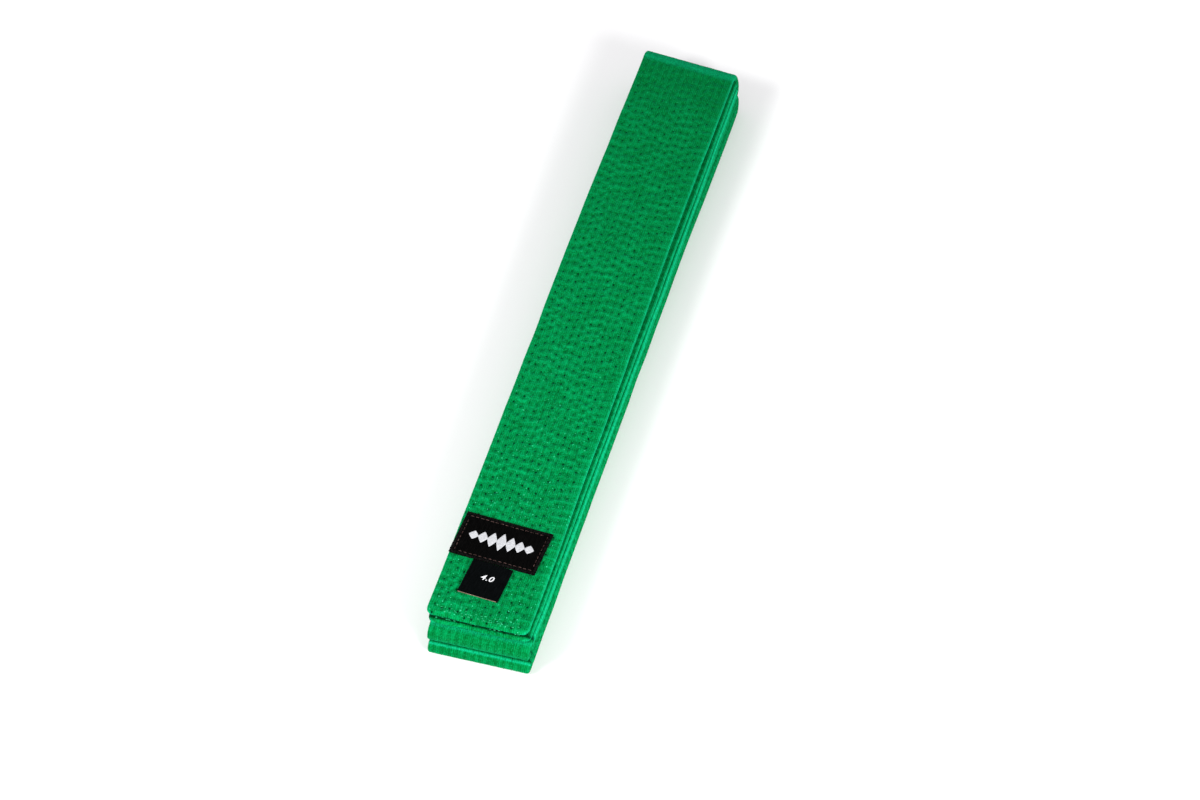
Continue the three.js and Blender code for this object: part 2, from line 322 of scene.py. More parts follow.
past_mm = s.math("MULTIPLY", past, STITCH)
which = s.node("ShaderNodeCombineXYZ")
s.feed(which.inputs[0], row)
s.feed(which.inputs[1], s.math("ROUND", turn))
dice = s.node("ShaderNodeTexWhiteNoise", noise_dimensions="3D")
s.feed(dice.inputs["Vector"], which.outputs[0])
chance = s.node("ShaderNodeSeparateColor")
s.feed(chance.inputs[0], dice.outputs["Color"])
moved = s.math("MULTIPLY_ADD", s.math("SUBTRACT", chance.outputs[0], 0.5), HOLE_STRAY[0], aside)
along = s.math("MULTIPLY_ADD", s.math("SUBTRACT", chance.outputs[1], 0.5), HOLE_STRAY[1], past_mm)
wide = s.math("POWER", s.math("DIVIDE", moved, HOLE_RADIUS[0]), 2.0)
long = s.math("POWER", s.math("DIVIDE", along, HOLE_RADIUS[1]), 2.0)
distance = s.math("SQRT", s.math("ADD", wide, long))
hole = s.ramp(distance, 0.25, 1.0, 1.0, 0.0)
s.feed(sink["Hole"], s.math("MULTIPLY", hole, s.ramp(chance.outputs[2], 0.1, 0.8, 0.35, 1.0)))
s.feed(sink["Valley"], s.ramp(s.math("ABSOLUTE", aside), 0.1, 1.1, 1.0, 0.0))
s.feed(sink["Pucker"], s.math("COSINE", s.math("MULTIPLY", past, 2 * np.pi)))
print("rows:", ROWS, "stitch, mm:", STITCH)

# %% [markdown]
# ## Green cotton
# The belt's cover is dyed right through, and its green is deep and saturated. Shade is
# painted into its colour: darker in the valleys of the quilting and round the holes, almost
# black in the needle holes, and darker round folds and towards the far end. Painted
# highlights lighten the crowns of the puckers and creases. The dye takes unevenly, so a broad
# noise shifts the tone, and short fibres that stand off the yarn catch the light as pale specks,
# painted as glints. Four values on the points say where the cloth is stretched smooth round a
# fold, where a crest or an edge gets a painted highlight, where it lies deep in a crease and
# gets painted shade, and how near it is to the far folds.


# %% The cotton
# Greens mixed into the cotton. The dark yarn green also serves as painted shade, and the others are painted
# shade, a painted highlight and painted glints, apart from the mottle.
DARK_YARN_AND_SHADE_GREEN = (0.0, 0.085, 0.012, 1.0)
MOTTLE_GREEN = (0.0, 0.060, 0.008, 1.0)
FAR_SHADE_GREEN = (0.0, 0.095, 0.016, 1.0)
HOLE_SHADE_GREEN = (0.0, 0.014, 0.002, 1.0)
CREASE_SHADE_GREEN = (0.0, 0.010, 0.001, 1.0)
CREST_HIGHLIGHT_GREEN = (0.004, 0.50, 0.24, 1.0)
FIBRE_GLINT_GREEN = (0.06, 0.72, 0.40, 1.0)


def green_cotton(name, deep, middle, light):
    """Cover cloth: tone by noise and warp, darkened by quilting marks, with pale flecks."""
    material, s, shader = new_material(name, 0.95, 0.30)
    shader["Sheen Tint"].default_value = (0.01, 0.75, 0.40, 1.0)
    shader["Sheen Roughness"].default_value = 0.35
    flat_map = s.node("ShaderNodeUVMap", uv_map="cloth").outputs["UV"]
    cloth = s.group(weave, Map=flat_map, Across_mm=0.78, Along_mm=0.62)
    marks = s.group(quilt_marks, Map=flat_map)
    stretched = s.node("ShaderNodeAttribute", attribute_name="stretched").outputs["Fac"]
    crest = s.node("ShaderNodeAttribute", attribute_name="crest").outputs["Fac"]
    relaxed = s.math("MULTIPLY_ADD", stretched, -0.9, 1.0)
    broad = s.ramp(s.noise(s.stretch(flat_map, (0.12, 0.07, 1.0)), 1.0, 3.0), 0.3, 0.7)
    tone = s.mix(broad, deep, middle)
    far = s.node("ShaderNodeAttribute", attribute_name="far").outputs["Fac"]
    tucked = s.node("ShaderNodeAttribute", attribute_name="tucked").outputs["Fac"]
    tone = s.mix(s.ramp(cloth["Warp"], 0.44, 0.76, 0.0, 0.9), tone, light)
    tone = s.mix(s.ramp(cloth["Warp"], 0.26, 0.44, 0.35, 0.0), tone, DARK_YARN_AND_SHADE_GREEN)
    # Painted highlight and shade: lighter and darker streaks across the belt stand in for light on its
    # creases, and the ridges of the puckers are painted lighter.
    crossways = s.noise(s.stretch(flat_map, (0.12, 0.55, 1.0)), 1.0, 2.0, 0.6)
    puckered = s.ramp(s.noise(s.stretch(flat_map, (0.09, 0.05, 1.0)), 1.0, 1.0), 0.38, 0.60)
    ridge_highlight = s.math("MULTIPLY", s.ramp(marks["Pucker"], -1.0, -0.5, 0.75, 0.0), puckered)
    tone = s.mix(s.math("MULTIPLY", ridge_highlight, relaxed), tone, light)
    tone = s.mix(s.ramp(crossways, 0.50, 0.74, 0.0, 0.7), tone, light)
    tone = s.mix(s.ramp(crossways, 0.30, 0.48, 0.5, 0.0), tone, DARK_YARN_AND_SHADE_GREEN)
    # Painted shade in the quilting's valleys and round the needle holes.
    valley_shade = s.math("MULTIPLY", s.math("MULTIPLY", marks["Pucker"], 0.5), relaxed)
    valley_shade = s.math("MULTIPLY", s.math("ADD", valley_shade, marks["Valley"]), 0.42)
    tone = s.mix(valley_shade, tone, DARK_YARN_AND_SHADE_GREEN)
    # Painted shade in the lengthwise grooves where the cloth is stretched round a fold.
    groove_shade = s.math("MULTIPLY", s.math("MULTIPLY", marks["Valley"], stretched), 0.35)
    tone = s.mix(groove_shade, tone, DARK_YARN_AND_SHADE_GREEN)
    grain = s.noise(s.stretch(flat_map, (1.9, 1.5, 1.0)), 1.0, 3.0, 0.7)
    tone = s.mix(s.ramp(grain, 0.50, 0.68, 0.0, 0.85), tone, light)
    tone = s.mix(s.ramp(grain, 0.32, 0.48, 0.8, 0.0), tone, DARK_YARN_AND_SHADE_GREEN)
    mottle = s.ramp(s.noise(s.stretch(flat_map, (0.9, 0.5, 1.0)), 1.0, 2.0), 0.60, 0.72, 0.0, 0.4)
    tone = s.mix(s.math("MULTIPLY", mottle, relaxed), tone, MOTTLE_GREEN)
    # Painted shade in the needle holes.
    hole_shade = s.math("MULTIPLY", marks["Hole"], relaxed)
    tone = s.mix(hole_shade, tone, HOLE_SHADE_GREEN)
    # Painted shade, growing towards the far end.
    tone = s.mix(s.math("MULTIPLY", far, 0.40), tone, FAR_SHADE_GREEN)
    # Painted shade where the cloth is stretched round a fold.
    tone = s.mix(s.math("MULTIPLY", stretched, 0.25), tone, DARK_YARN_AND_SHADE_GREEN)
    # Painted highlight on the crests of folds and on the outer edges.
    highlight_mix = s.math("MULTIPLY", crest, s.ramp(grain, 0.35, 0.6, 0.45, 1.0))
    tone = s.mix(highlight_mix, tone, CREST_HIGHLIGHT_GREEN)
    # Painted shade deep in the creases.
    tone = s.mix(s.math("MULTIPLY", tucked, 0.9), tone, CREASE_SHADE_GREEN)
    parts = s.node("ShaderNodeSeparateXYZ")
    s.feed(parts.inputs[0], flat_map)
    # Pale specks where fibres catch the light: painted glints, strongest near the label's tip.
    worn = s.ramp(parts.outputs["Y"], 0.0, 190.0, 0.9, 0.12)
    fleck = s.math("MULTIPLY", cloth["Fleck"], worn)
    s.feed(shader["Base Color"], s.mix(fleck, tone, FIBRE_GLINT_GREEN))
    s.feed(shader["Roughness"], s.ramp(cloth["Warp"], 0.2, 0.9, 0.98, 0.88))
    relief = s.math("MULTIPLY_ADD", marks["Hole"], -3.0, cloth["Height"])
    relief = s.math("MULTIPLY_ADD", grain, 3.0, relief)
    relief = s.math("MULTIPLY_ADD", crossways, 4.0, relief)
    s.feed(shader["Normal"], s.bump(relief, 0.8, 0.00010))
    return material


cotton = green_cotton(
    "belt_cotton",
    (0.0001, 0.152, 0.028, 1.0),
    (0.0002, 0.196, 0.044, 1.0),
    (0.0006, 0.320, 0.094, 1.0),
)

# %% [markdown]
# ## The belt's line
# The whole belt is one line through the pack, from the tip with the label to the other tip.
# Each run follows its own layer, whose height and sideways place are set at four stations and
# joined by smooth steps: nothing is quite level, the pack is thicker at the near end, and the
# layers stand a millimetre or so out of line. A bight is a half turn between two layers.

# %% Where the layers lie
TIP_1 = box_mm("label_end_cover")[0][1]
TIP_2 = box_mm("run_2_cover")[0][1]
FAR = box_mm("run_1_cover")[1][1] + 0.1
FRONT = box_mm("run_3_cover")[0][1] - 0.1
CENTRE = box_mm("run_8_cover")[0][1] + 0.7
LIFT = (box_mm("label_end_cover")[1][1] + box_mm("run_1_cover")[0][1]) / 2
STATIONS = np.array([-152.0, -136.0, -60.0, 60.0, 150.0])
LAYER_Z = {
    1: np.array([20.7, 20.1, 19.9, 19.8, 20.4]),
    2: np.array([18.2, 17.4, 17.2, 17.1, 17.7]),
    3: np.array([15.1, 14.8, 14.6, 14.5, 15.0]),
    4: np.array([12.6, 12.2, 12.0, 11.9, 12.3]),
    5: np.array([10.1, 9.6, 9.4, 9.2, 9.5]),
    6: np.array([7.7, 6.95, 6.75, 6.6, 6.8]),
    7: np.array([5.35, 4.3, 4.1, 3.95, 4.0]),
    8: np.array([1.4, 1.4, 1.4, 1.4, 1.4]),
}
LAYER_X = {
    1: np.array([0.2, 0.1, -0.3, -1.0, -0.3]),
    2: np.array([1.2, 1.2, 1.1, 1.0, 1.0]),
    3: np.array([1.7, 1.9, 1.9, 1.8, 1.5]),
    4: np.array([1.5, 1.7, 1.7, 1.7, 1.4]),
    5: np.array([0.6, 0.2, -0.2, -0.2, 0.7]),
    6: np.array([1.0, 0.6, 0.3, 0.2, 1.1]),
    7: np.array([1.5, 1.1, 0.8, 0.7, 1.5]),
    8: np.array([1.3, 1.1, 0.9, 0.8, 1.5]),
}


def ease(y, values):
    """Values at the stations joined by 3t^2 - 2t^3, so the slope is nought at each station."""
    y = np.clip(y, STATIONS[0], STATIONS[-1])
    i = np.clip(np.searchsorted(STATIONS, y, side="right") - 1, 0, len(STATIONS) - 2)
    t = (y - STATIONS[i]) / (STATIONS[i + 1] - STATIONS[i])
    t = t * t * (3 - 2 * t)
    return values[i] * (1 - t) + values[i + 1] * t


def run_line(layer, start, end):
    """Points every half millimetre along one layer, from y = start to y = end."""
    y = np.linspace(start, end, round(abs(end - start) / 0.5) + 1)
    return np.stack([ease(y, LAYER_X[layer]), y, ease(y, LAYER_Z[layer])], axis=1)


def bight_line(first, last, y, side, bulge, boxy):
    """A half turn from layer first to layer last: z goes as sine, y stands out as cosine.

    Both are raised to the power boxy, so that 1 is round and less than 1 is squarer."""
    ends = np.array([[ease(y, v[k]) for v in (LAYER_X, LAYER_Z)] for k in (first, last)])
    (x_a, z_a), (x_b, z_b) = ends
    half = (z_a - z_b) / 2
    count = round(np.pi * max(abs(half), bulge) / 0.2)
    angle = np.linspace(np.pi / 2, -np.pi / 2, count)
    share = (1 - np.sin(angle)) / 2
    sine = np.sign(np.sin(angle)) * np.abs(np.sin(angle)) ** boxy
    z = (z_a + z_b) / 2 + half * sine
    out = y + side * bulge * np.abs(np.cos(angle)) ** boxy
    return np.stack([x_a * (1 - share) + x_b * share, out, z], axis=1)


# %% [markdown]
# The far folds weren't made quite square: their left end lies a few millimetres further out
# than their right end. One rule skews every point near the far end, whatever piece it is on.


# %% Skew of the far folds
FAR_SKEW = -0.11


def settle(points):
    """Moves points along Y by skew * x, where a smooth step turns it on near the far end."""
    share = np.clip((points[..., 1] - 80.0) / 65.0, 0, 1)
    share = share * share * (3 - 2 * share)
    moved = points.copy()
    moved[..., 1] += FAR_SKEW * points[..., 0] * share
    return moved


# %% [markdown]
# The belt's order through the pack starts at the label's tip: out along the top, round the
# outside of the upper far folds, back on layer 4, round the inside of the front folds, and so
# on down to the centre of the belt at the bottom, and back up between its own first half.

# %% Follow the belt through the pack
SEGMENTS = [
    ("layer_1", run_line(1, TIP_1, FAR)),
    ("upper_far_outer", bight_line(1, 4, FAR, 1, 4.2, 1.0)),
    ("layer_4", run_line(4, FAR, FRONT)),
    ("front_inner", bight_line(4, 5, FRONT, -1, 1.4, 1.0)),
    ("layer_5", run_line(5, FRONT, FAR)),
    ("lower_far_outer", bight_line(5, 8, FAR, 1, 4.1, 1.0)),
    ("layer_8", run_line(8, FAR, CENTRE)),
    ("centre", bight_line(8, 7, CENTRE, -1, 1.95, 0.9)),
    ("layer_7", run_line(7, CENTRE, FAR)),
    ("lower_far_inner", bight_line(7, 6, FAR, 1, 1.4, 1.0)),
    ("layer_6", run_line(6, FAR, FRONT)),
    ("front_outer", bight_line(6, 3, FRONT, -1, 4.6, 0.95)),
    ("layer_3", run_line(3, FRONT, FAR)),
    ("upper_far_inner", bight_line(3, 2, FAR, 1, 1.4, 1.0)),
    ("layer_2", run_line(2, FAR, TIP_2)),
]
line = SEGMENTS[0][1]
ends = [0, len(line) - 1]
for _, points in SEGMENTS[1:]:
    line = np.concatenate([line, points[1:]])
    ends.append(len(line) - 1)
line_s = np.concatenate([[0], np.cumsum(np.linalg.norm(np.diff(line, axis=0), axis=1))])
SPAN = {name: (line_s[a], line_s[b]) for (name, _), a, b in zip(SEGMENTS, ends, ends[1:])}
LENGTH = line_s[-1]
line_t = np.gradient(line, line_s, axis=0)
line_t /= np.linalg.norm(line_t, axis=1)[:, None]
kernel = np.array([1.0, 2.0, 3.0, 2.0, 1.0]) / 9
padded_t = np.pad(line_t, ((2, 2), (0, 0)), mode="edge")
line_t = np.stack([np.convolve(padded_t[:, k], kernel, "valid") for k in range(3)], axis=1)
heading = np.unwrap(np.arctan2(line_t[:, 2], line_t[:, 1]))
line_bend = np.gradient(heading, line_s)
print("belt length, mm:", round(LENGTH))


def at(s_mm):
    """The line's point, its upward normal (X cross the way ahead) and its curvature there."""
    point = np.stack([np.interp(s_mm, line_s, line[:, k]) for k in range(3)], axis=-1)
    angle = np.interp(s_mm, line_s, heading)
    normal = np.stack([0 * angle, -np.sin(angle), np.cos(angle)], axis=-1)
    return point, normal, np.interp(s_mm, line_s, line_bend)


# %% [markdown]
# ## The quilted surface
# Between two rows the padding swells, and each row pulls the cloth into a valley. The cloth is
# longer than the thread, so it puckers across the rows, once a stitch, and gathers here and
# there into longer creases. All of this is a height added to the belt's half thickness. Inside
# the pack the layers press each other flatter, and round a tight fold the cloth is stretched.

# %% Height of the quilting
HALF_WIDTH = 20.0
HALF_THICK = 1.25


def lattice_noise(u, v, seed):
    """Smooth noise from -1 to 1: random values on a unit lattice, joined by smooth steps."""
    size = 64
    values = np.random.default_rng(seed).uniform(-1, 1, (size, size))
    iu, iv = np.floor(u).astype(int), np.floor(v).astype(int)
    fu, fv = u - iu, v - iv
    fu, fv = fu * fu * (3 - 2 * fu), fv * fv * (3 - 2 * fv)
    a = values[iu % size, iv % size]
    b = values[(iu + 1) % size, iv % size]
    c = values[iu % size, (iv + 1) % size]
    d = values[(iu + 1) % size, (iv + 1) % size]
    return (a * (1 - fu) + b * fu) * (1 - fv) + (c * (1 - fu) + d * fu) * fv


def quilting(x, s_mm, side):
    """Height in mm: a valley exp(-(d/0.7)^2) at each row, holes, puckers and creases."""
    place = (x - FIRST_ROW) / ROW_PITCH
    row = np.clip(np.round(place), 0, ROWS - 1)
    aside = np.abs(place - row) * ROW_PITCH
    between = np.clip(place, 0, ROWS - 1)
    turn = s_mm / STITCH + drift(between, s_mm)
    past = (turn + 0.5) % 1 - 0.5
    valley = np.exp(-((aside / 0.7) ** 2))
    hole = np.exp(-((aside / 0.6) ** 2) - (past * STITCH / 0.8) ** 2)
    inner = np.clip(1 - aside / 5, 0, 1) ** 1.5
    pucker = -np.cos(2 * np.pi * past) * (0.5 + 0.5 * (1 - valley))
    seed = 10 if side > 0 else 20
    bow = 1.6 * lattice_noise(s_mm / 40, x / 12 + 40, seed + 3)
    crease = lattice_noise((s_mm + bow) / 2.3, x / 8 + 40, seed)
    crease_broad = lattice_noise((s_mm + 2 * bow) / 4.6, x / 13 + 40, seed + 1)
    swell = lattice_noise(s_mm / 11, x / 6 + 40, seed + 2)
    relief = 0.17 * pucker + 0.26 * crease + 0.24 * crease_broad + 0.10 * swell
    return 0.04 - 0.24 * valley - 0.14 * hole + relief * inner


def skin_height(x, s_mm, side):
    """The cloth's height over the line: half thickness, and quilting eased in tight places."""
    _, _, bend = at(s_mm)
    from_tip = np.minimum(s_mm, LENGTH - s_mm)
    nose = np.clip(1 - from_tip / 2.2, 0, 0.985)
    hem = 0.18 * np.exp(-(((from_tip - 3.4) / 1.0) ** 2))
    outside = SPAN["layer_1"][1] if side > 0 else -1.0
    pressed = np.where(s_mm < outside, 1.0, 0.6)
    tight = np.clip(np.abs(bend) / 0.2, 0, 1)
    relief = quilting(x, s_mm, side) * pressed * (1 - 0.72 * tight)
    relief = relief * np.clip(from_tip / 3.0, 0, 1) - hem
    height = (HALF_THICK + relief) * np.sqrt(1 - nose**2)
    room = 0.86 / np.maximum(np.abs(bend), 1e-6)
    return np.where(np.sign(bend) == side, np.minimum(height, room), height)


def curl(x, s_mm):
    """How far the top layer's edges stand off the layer below: the square of x past 11 mm."""
    right_side = np.clip((x - 11) / 9, 0, 1) ** 2
    left_side = np.clip((-x - 12) / 8, 0, 1) ** 2
    on_top = np.clip((SPAN["layer_1"][1] - 6 - s_mm) / 30, 0, 1)
    left_tip = np.clip(1 - s_mm / 40, 0, 1)
    return on_top * (0.30 * right_side + (0.1 + 0.35 * left_tip) * left_side)


def on_belt(x, s_mm, height):
    """The line at s, plus x across, plus a height along the normal; wavy towards a tip."""
    point, normal, _ = at(s_mm)
    from_tip = np.minimum(s_mm, LENGTH - s_mm)
    high = height + curl(x, s_mm)
    points = point + high[..., None] * normal
    points[..., 0] += x
    wave = lattice_noise(x / 6 + 9, np.where(s_mm < 50, 0.5, 7.5) + 0 * x, 33)
    points[..., 1] += 0.45 * wave * np.clip(1 - from_tip / 9, 0, 1)
    return settle(points)


# %% [markdown]
# ## The belt as a surface
# One rule gives the whole belt: a point is the line at a distance s, plus x across, plus a
# height along the line's normal. Round the section, the columns run over the top face, round
# the right edge, back along the bottom and round the left edge. At a tight fold the inner face
# can't bulge past the fold's own centre, so its height is held below the radius there.

# %% Section columns
FACE_COLUMNS = 74
EDGE_COLUMNS = 7
edge_angle = np.linspace(0, np.pi, EDGE_COLUMNS + 2)[1:-1]
face = np.linspace(-1, 1, FACE_COLUMNS)
middle_edge = EDGE_COLUMNS // 2 + 1
COLUMN_FACE = np.concatenate([face, np.ones(EDGE_COLUMNS), face[::-1], -np.ones(EDGE_COLUMNS)])
COLUMN_ROUND = np.concatenate([0 * face, np.sin(edge_angle), 0 * face, -np.sin(edge_angle)])
COLUMN_UP = np.concatenate([0 * face + 1, np.cos(edge_angle), 0 * face - 1, -np.cos(edge_angle)])
COLUMN_FACE = np.roll(COLUMN_FACE, middle_edge)
COLUMN_ROUND = np.roll(COLUMN_ROUND, middle_edge)
COLUMN_UP = np.roll(COLUMN_UP, middle_edge)
COLUMNS = len(COLUMN_FACE)


def belt_points(s_mm):
    """Points of the belt's skin, rows along s and columns round the section, and their maps."""
    from_tip = np.minimum(s_mm, LENGTH - s_mm)
    corner = np.clip(1 - from_tip / 2.8, 0, 1)
    width = HALF_WIDTH - 2.8 * (1 - np.sqrt(1 - corner**2))
    width = width + 0.16 * lattice_noise(s_mm / 15, 0 * s_mm + 0.5, 31)
    round_edge = 0.95
    x = (width - round_edge)[:, None] * COLUMN_FACE + round_edge * COLUMN_ROUND
    rows = np.repeat(s_mm[:, None], COLUMNS, axis=1)
    over, under = skin_height(x, rows, 1), skin_height(x, rows, -1)
    height = np.where(COLUMN_UP > 0, over, under) * COLUMN_UP
    return on_belt(x, rows, height), np.stack([x, rows], axis=-1)


def skin_normals(points):
    """Unit normals of a wrapped grid: the along difference crossed with the round one."""
    ahead = np.gradient(points, axis=0)
    round_it = np.roll(points, -1, axis=1) - np.roll(points, 1, axis=1)
    normals = np.cross(round_it, ahead)
    return normals / np.maximum(np.linalg.norm(normals, axis=2), 1e-9)[:, :, None]


print("columns:", COLUMNS)


# %% [markdown]
# ## Meshes from arrays
# A tube's faces join each row to the next and each column to its neighbour. Its two ends are
# closed by a ladder of faces between the top and bottom halves of the last ring, so each piece
# is a closed solid. The normals are worked out on the unbroken surface, one row past each cut,
# so the light runs across the joints between two pieces without a line.


# %% Mesh helpers
def add_mesh(name, points, faces, material, uv=None, normals=None):
    """A smooth mesh object in metres from points in millimetres."""
    mesh = bpy.data.meshes.new(name)
    mesh.from_pydata((np.asarray(points) * MM).tolist(), [], faces)
    mesh.polygons.foreach_set("use_smooth", np.ones(len(mesh.polygons), bool))
    if uv is not None:
        corner = np.zeros(len(mesh.loops), np.int32)
        mesh.loops.foreach_get("vertex_index", corner)
        layer = mesh.uv_layers.new(name="cloth")
        layer.data.foreach_set("uv", np.asarray(uv, np.float32)[corner].ravel())
    mesh.update()
    if normals is not None:
        mesh.normals_split_custom_set_from_vertices(np.asarray(normals).tolist())
    mesh.materials.append(material)
    made = bpy.data.objects.new(name, mesh)
    bpy.context.scene.collection.objects.link(made)
    return made


def tube_faces(rows, columns):
    """Faces of a closed tube: quads between rings, and a ladder across each end ring."""
    r, c = np.meshgrid(np.arange(rows - 1), np.arange(columns), indexing="ij")
    d = (c + 1) % columns
    near, far = r * columns, (r + 1) * columns
    sides = np.stack([near + c, near + d, far + d, far + c], axis=-1).reshape(-1, 4)
    faces = sides.tolist()
    middle = columns // 2
    last = (rows - 1) * columns
    for base, turned in ((0, True), (last, False)):
        ladder = [[base, base + 1, base + columns - 1]]
        for k in range(1, middle - 1):
            ladder.append([base + k, base + k + 1, base + columns - k - 1, base + columns - k])
        ladder.append([base + middle - 1, base + middle, base + middle + 1])
        faces += [face[::-1] for face in ladder] if turned else ladder
    return faces


def share_along(s_mm, start, end):
    """0 at start and 1 at end, with a smooth step between."""
    t = np.clip((s_mm - start) / (end - start), 0, 1)
    return t * t * (3 - 2 * t)


def point_values(made, name, values):
    """Writes one number for each point, making the attribute if it isn't there."""
    attributes = made.data.attributes
    kept = attributes.get(name) or attributes.new(name, "FLOAT", "POINT")
    kept.data.foreach_set("value", np.asarray(values, np.float32))


# %% [markdown]
# ## Covers
# Each piece of the cover is a stretch of the belt's surface. A straight run rides on its own
# body. The top layer crosses the hinge that lifts the label's end, so it bends there. A bight
# that opens bends between its two bodies, by how far each ring lies round the fold.

# %% Which body each stretch follows
RIDES = {
    "layer_2": "run_top",
    "layer_3": "run_upper_middle",
    "layer_4": "run_upper_middle",
    "layer_5": "run_lower_middle",
    "layer_6": "run_lower_middle",
    "layer_7": "run_bottom",
    "layer_8": "run_bottom",
    "centre": "run_bottom",
}
BENDS = {
    "layer_1": ("run_top", "label_end"),
    "upper_far_outer": ("run_upper_middle", "run_top"),
    "upper_far_inner": ("run_upper_middle", "run_top"),
    "front_outer": ("run_lower_middle", "run_upper_middle"),
    "front_inner": ("run_lower_middle", "run_upper_middle"),
    "lower_far_outer": ("run_bottom", "run_lower_middle"),
    "lower_far_inner": ("run_bottom", "run_lower_middle"),
}
UPWARD = ("lower_far_inner", "front_outer", "upper_far_inner")
LIFT_S = LIFT - TIP_1
LIFT_REACH = 14.0


def follow(made, name, s_mm):
    """Rides or bends a stretch's piece; s_mm is the distance along the belt of each point."""
    if name in RIDES:
        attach(made, RIDES[name])
        return
    lower, upper = BENDS[name]
    start, end = SPAN[name]
    if name == "layer_1":
        start, end = LIFT_S + LIFT_REACH, LIFT_S - LIFT_REACH
    elif name not in UPWARD:
        start, end = end, start
    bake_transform(made, lower, upper, (0.0, 0.0, 0.0), (0.0, 0.0, 0.01))
    point_values(made, "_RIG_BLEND", share_along(s_mm, start, end))


# %% [markdown]
# ## Painted highlight and shade
# A highlight is painted on the crest of a fold and on the outermost edges, and shade is painted
# on the cloth deep in a crease. Each point of a cover is given these as numbers, and the cotton
# material reads them, so that the painted highlight and shade stay with the cloth when it unfolds.

# %% Painted highlights on crests and edges, painted shade in creases
# Amounts of painted highlight on crests and edges, and of painted shade in creases.
CREST_HIGHLIGHT = {"centre": (1.0, 0.83, 0.035), "front_outer": (0.40, 0.84, 0.06)}
FAR_CREST_HIGHLIGHT = 0.30
EDGE_HIGHLIGHT = {"layer_1": 0.5, "layer_2": 0.45, "layer_3": 0.9, "layer_4": 0.45}
OTHER_EDGE_HIGHLIGHT = 0.1
SIDE_CREASE_SHADE = {"layer_1": 0.8, "layer_2": 0.3, "layer_3": 0.15, "layer_4": 0.3, "layer_5": 0.9}
OTHER_SIDE_CREASE_SHADE = 0.35


def painted_highlight(name, s_mm, edge):
    """Painted highlight at a point, from 0 to 1: the larger of its fold's share and its edge's.

    Round a near fold it is amount * exp(-((share of the way - place) / width)^2). At the far
    fold a smooth step fades it. At a side it is amount * edge^2, where edge is 1 outermost."""
    start, end = SPAN[name]
    share = (s_mm - start) / (end - start)
    fold = 0 * s_mm
    if name in CREST_HIGHLIGHT:
        amount, place, width = CREST_HIGHLIGHT[name]
        fold = amount * np.exp(-(((share - place) / width) ** 2))
    if name == "upper_far_outer":
        fold = FAR_CREST_HIGHLIGHT * (1 - share_along(share, 0.2, 0.4))
    if name == "layer_1":
        fold = FAR_CREST_HIGHLIGHT * share_along(s_mm, end - 3.0, end - 0.5)
    return np.maximum(fold, EDGE_HIGHLIGHT.get(name, OTHER_EDGE_HIGHLIGHT) * np.clip(edge, 0, 1) ** 2)


def tucked_shade(name, s_mm, edge, up):
    """Painted shade at a point deep in a crease, from 0 to 1, by smooth steps of its distances.

    The corners of the sides are tucked in where edge is near 0. Under a free end, and where a
    near fold starts, the cloth is tucked for the first two or three millimetres."""
    start, end = SPAN[name]
    share = (s_mm - start) / (end - start)
    corner = SIDE_CREASE_SHADE.get(name, OTHER_SIDE_CREASE_SHADE) * np.clip(1 - 2.2 * edge, 0, 1)
    to_tip = np.minimum(s_mm, LENGTH - s_mm)
    root = share_along(to_tip, 0.7, 1.3) * (1 - share_along(to_tip, 1.7, 3.2))
    if name == "layer_1":
        return np.where(up > 0, 0, np.maximum(corner, root))
    if name == "layer_2":
        ledge = 0.6 * root * share_along(to_tip, 1.7, 2.3)
        return np.maximum(corner, np.where(up > 0, ledge, root))
    if name == "layer_3":
        return np.maximum(corner, 1 - share_along(s_mm - start, 0.4, 2.0))
    if name == "front_outer":
        return np.maximum(1 - share_along(share, 0.04, 0.10), share_along(share, 0.95, 0.99))
    if name == "centre":
        return share_along(share, 0.91, 0.95)
    return corner * name.startswith("layer")


# %% [markdown]
# ## Cut the cover into its stretches
# Rings are set closer together at the rounded tips, and each stretch's mesh carries the values
# that its material reads.


# %% A stretch of the cover
TOP_STEP, RUN_STEP, FOLD_STEP = 0.62, 1.0, 0.4
SIDE_FROM = 0.96


def row_places(name, step):
    """Distances along the belt for a stretch's rings, closer together at a free tip."""
    start, end = SPAN[name]
    places = np.linspace(start, end, round((end - start) / step) + 1)
    tip = np.array([0.0, 0.05, 0.15, 0.3, 0.5, 0.75, 1.05, 1.4, 1.8, 2.25])
    if name == "layer_1":
        places = np.concatenate([tip, places[places > 2.5]])
    if name == "layer_2":
        places = np.concatenate([places[places < LENGTH - 2.5], (LENGTH - tip)[::-1]])
    return places


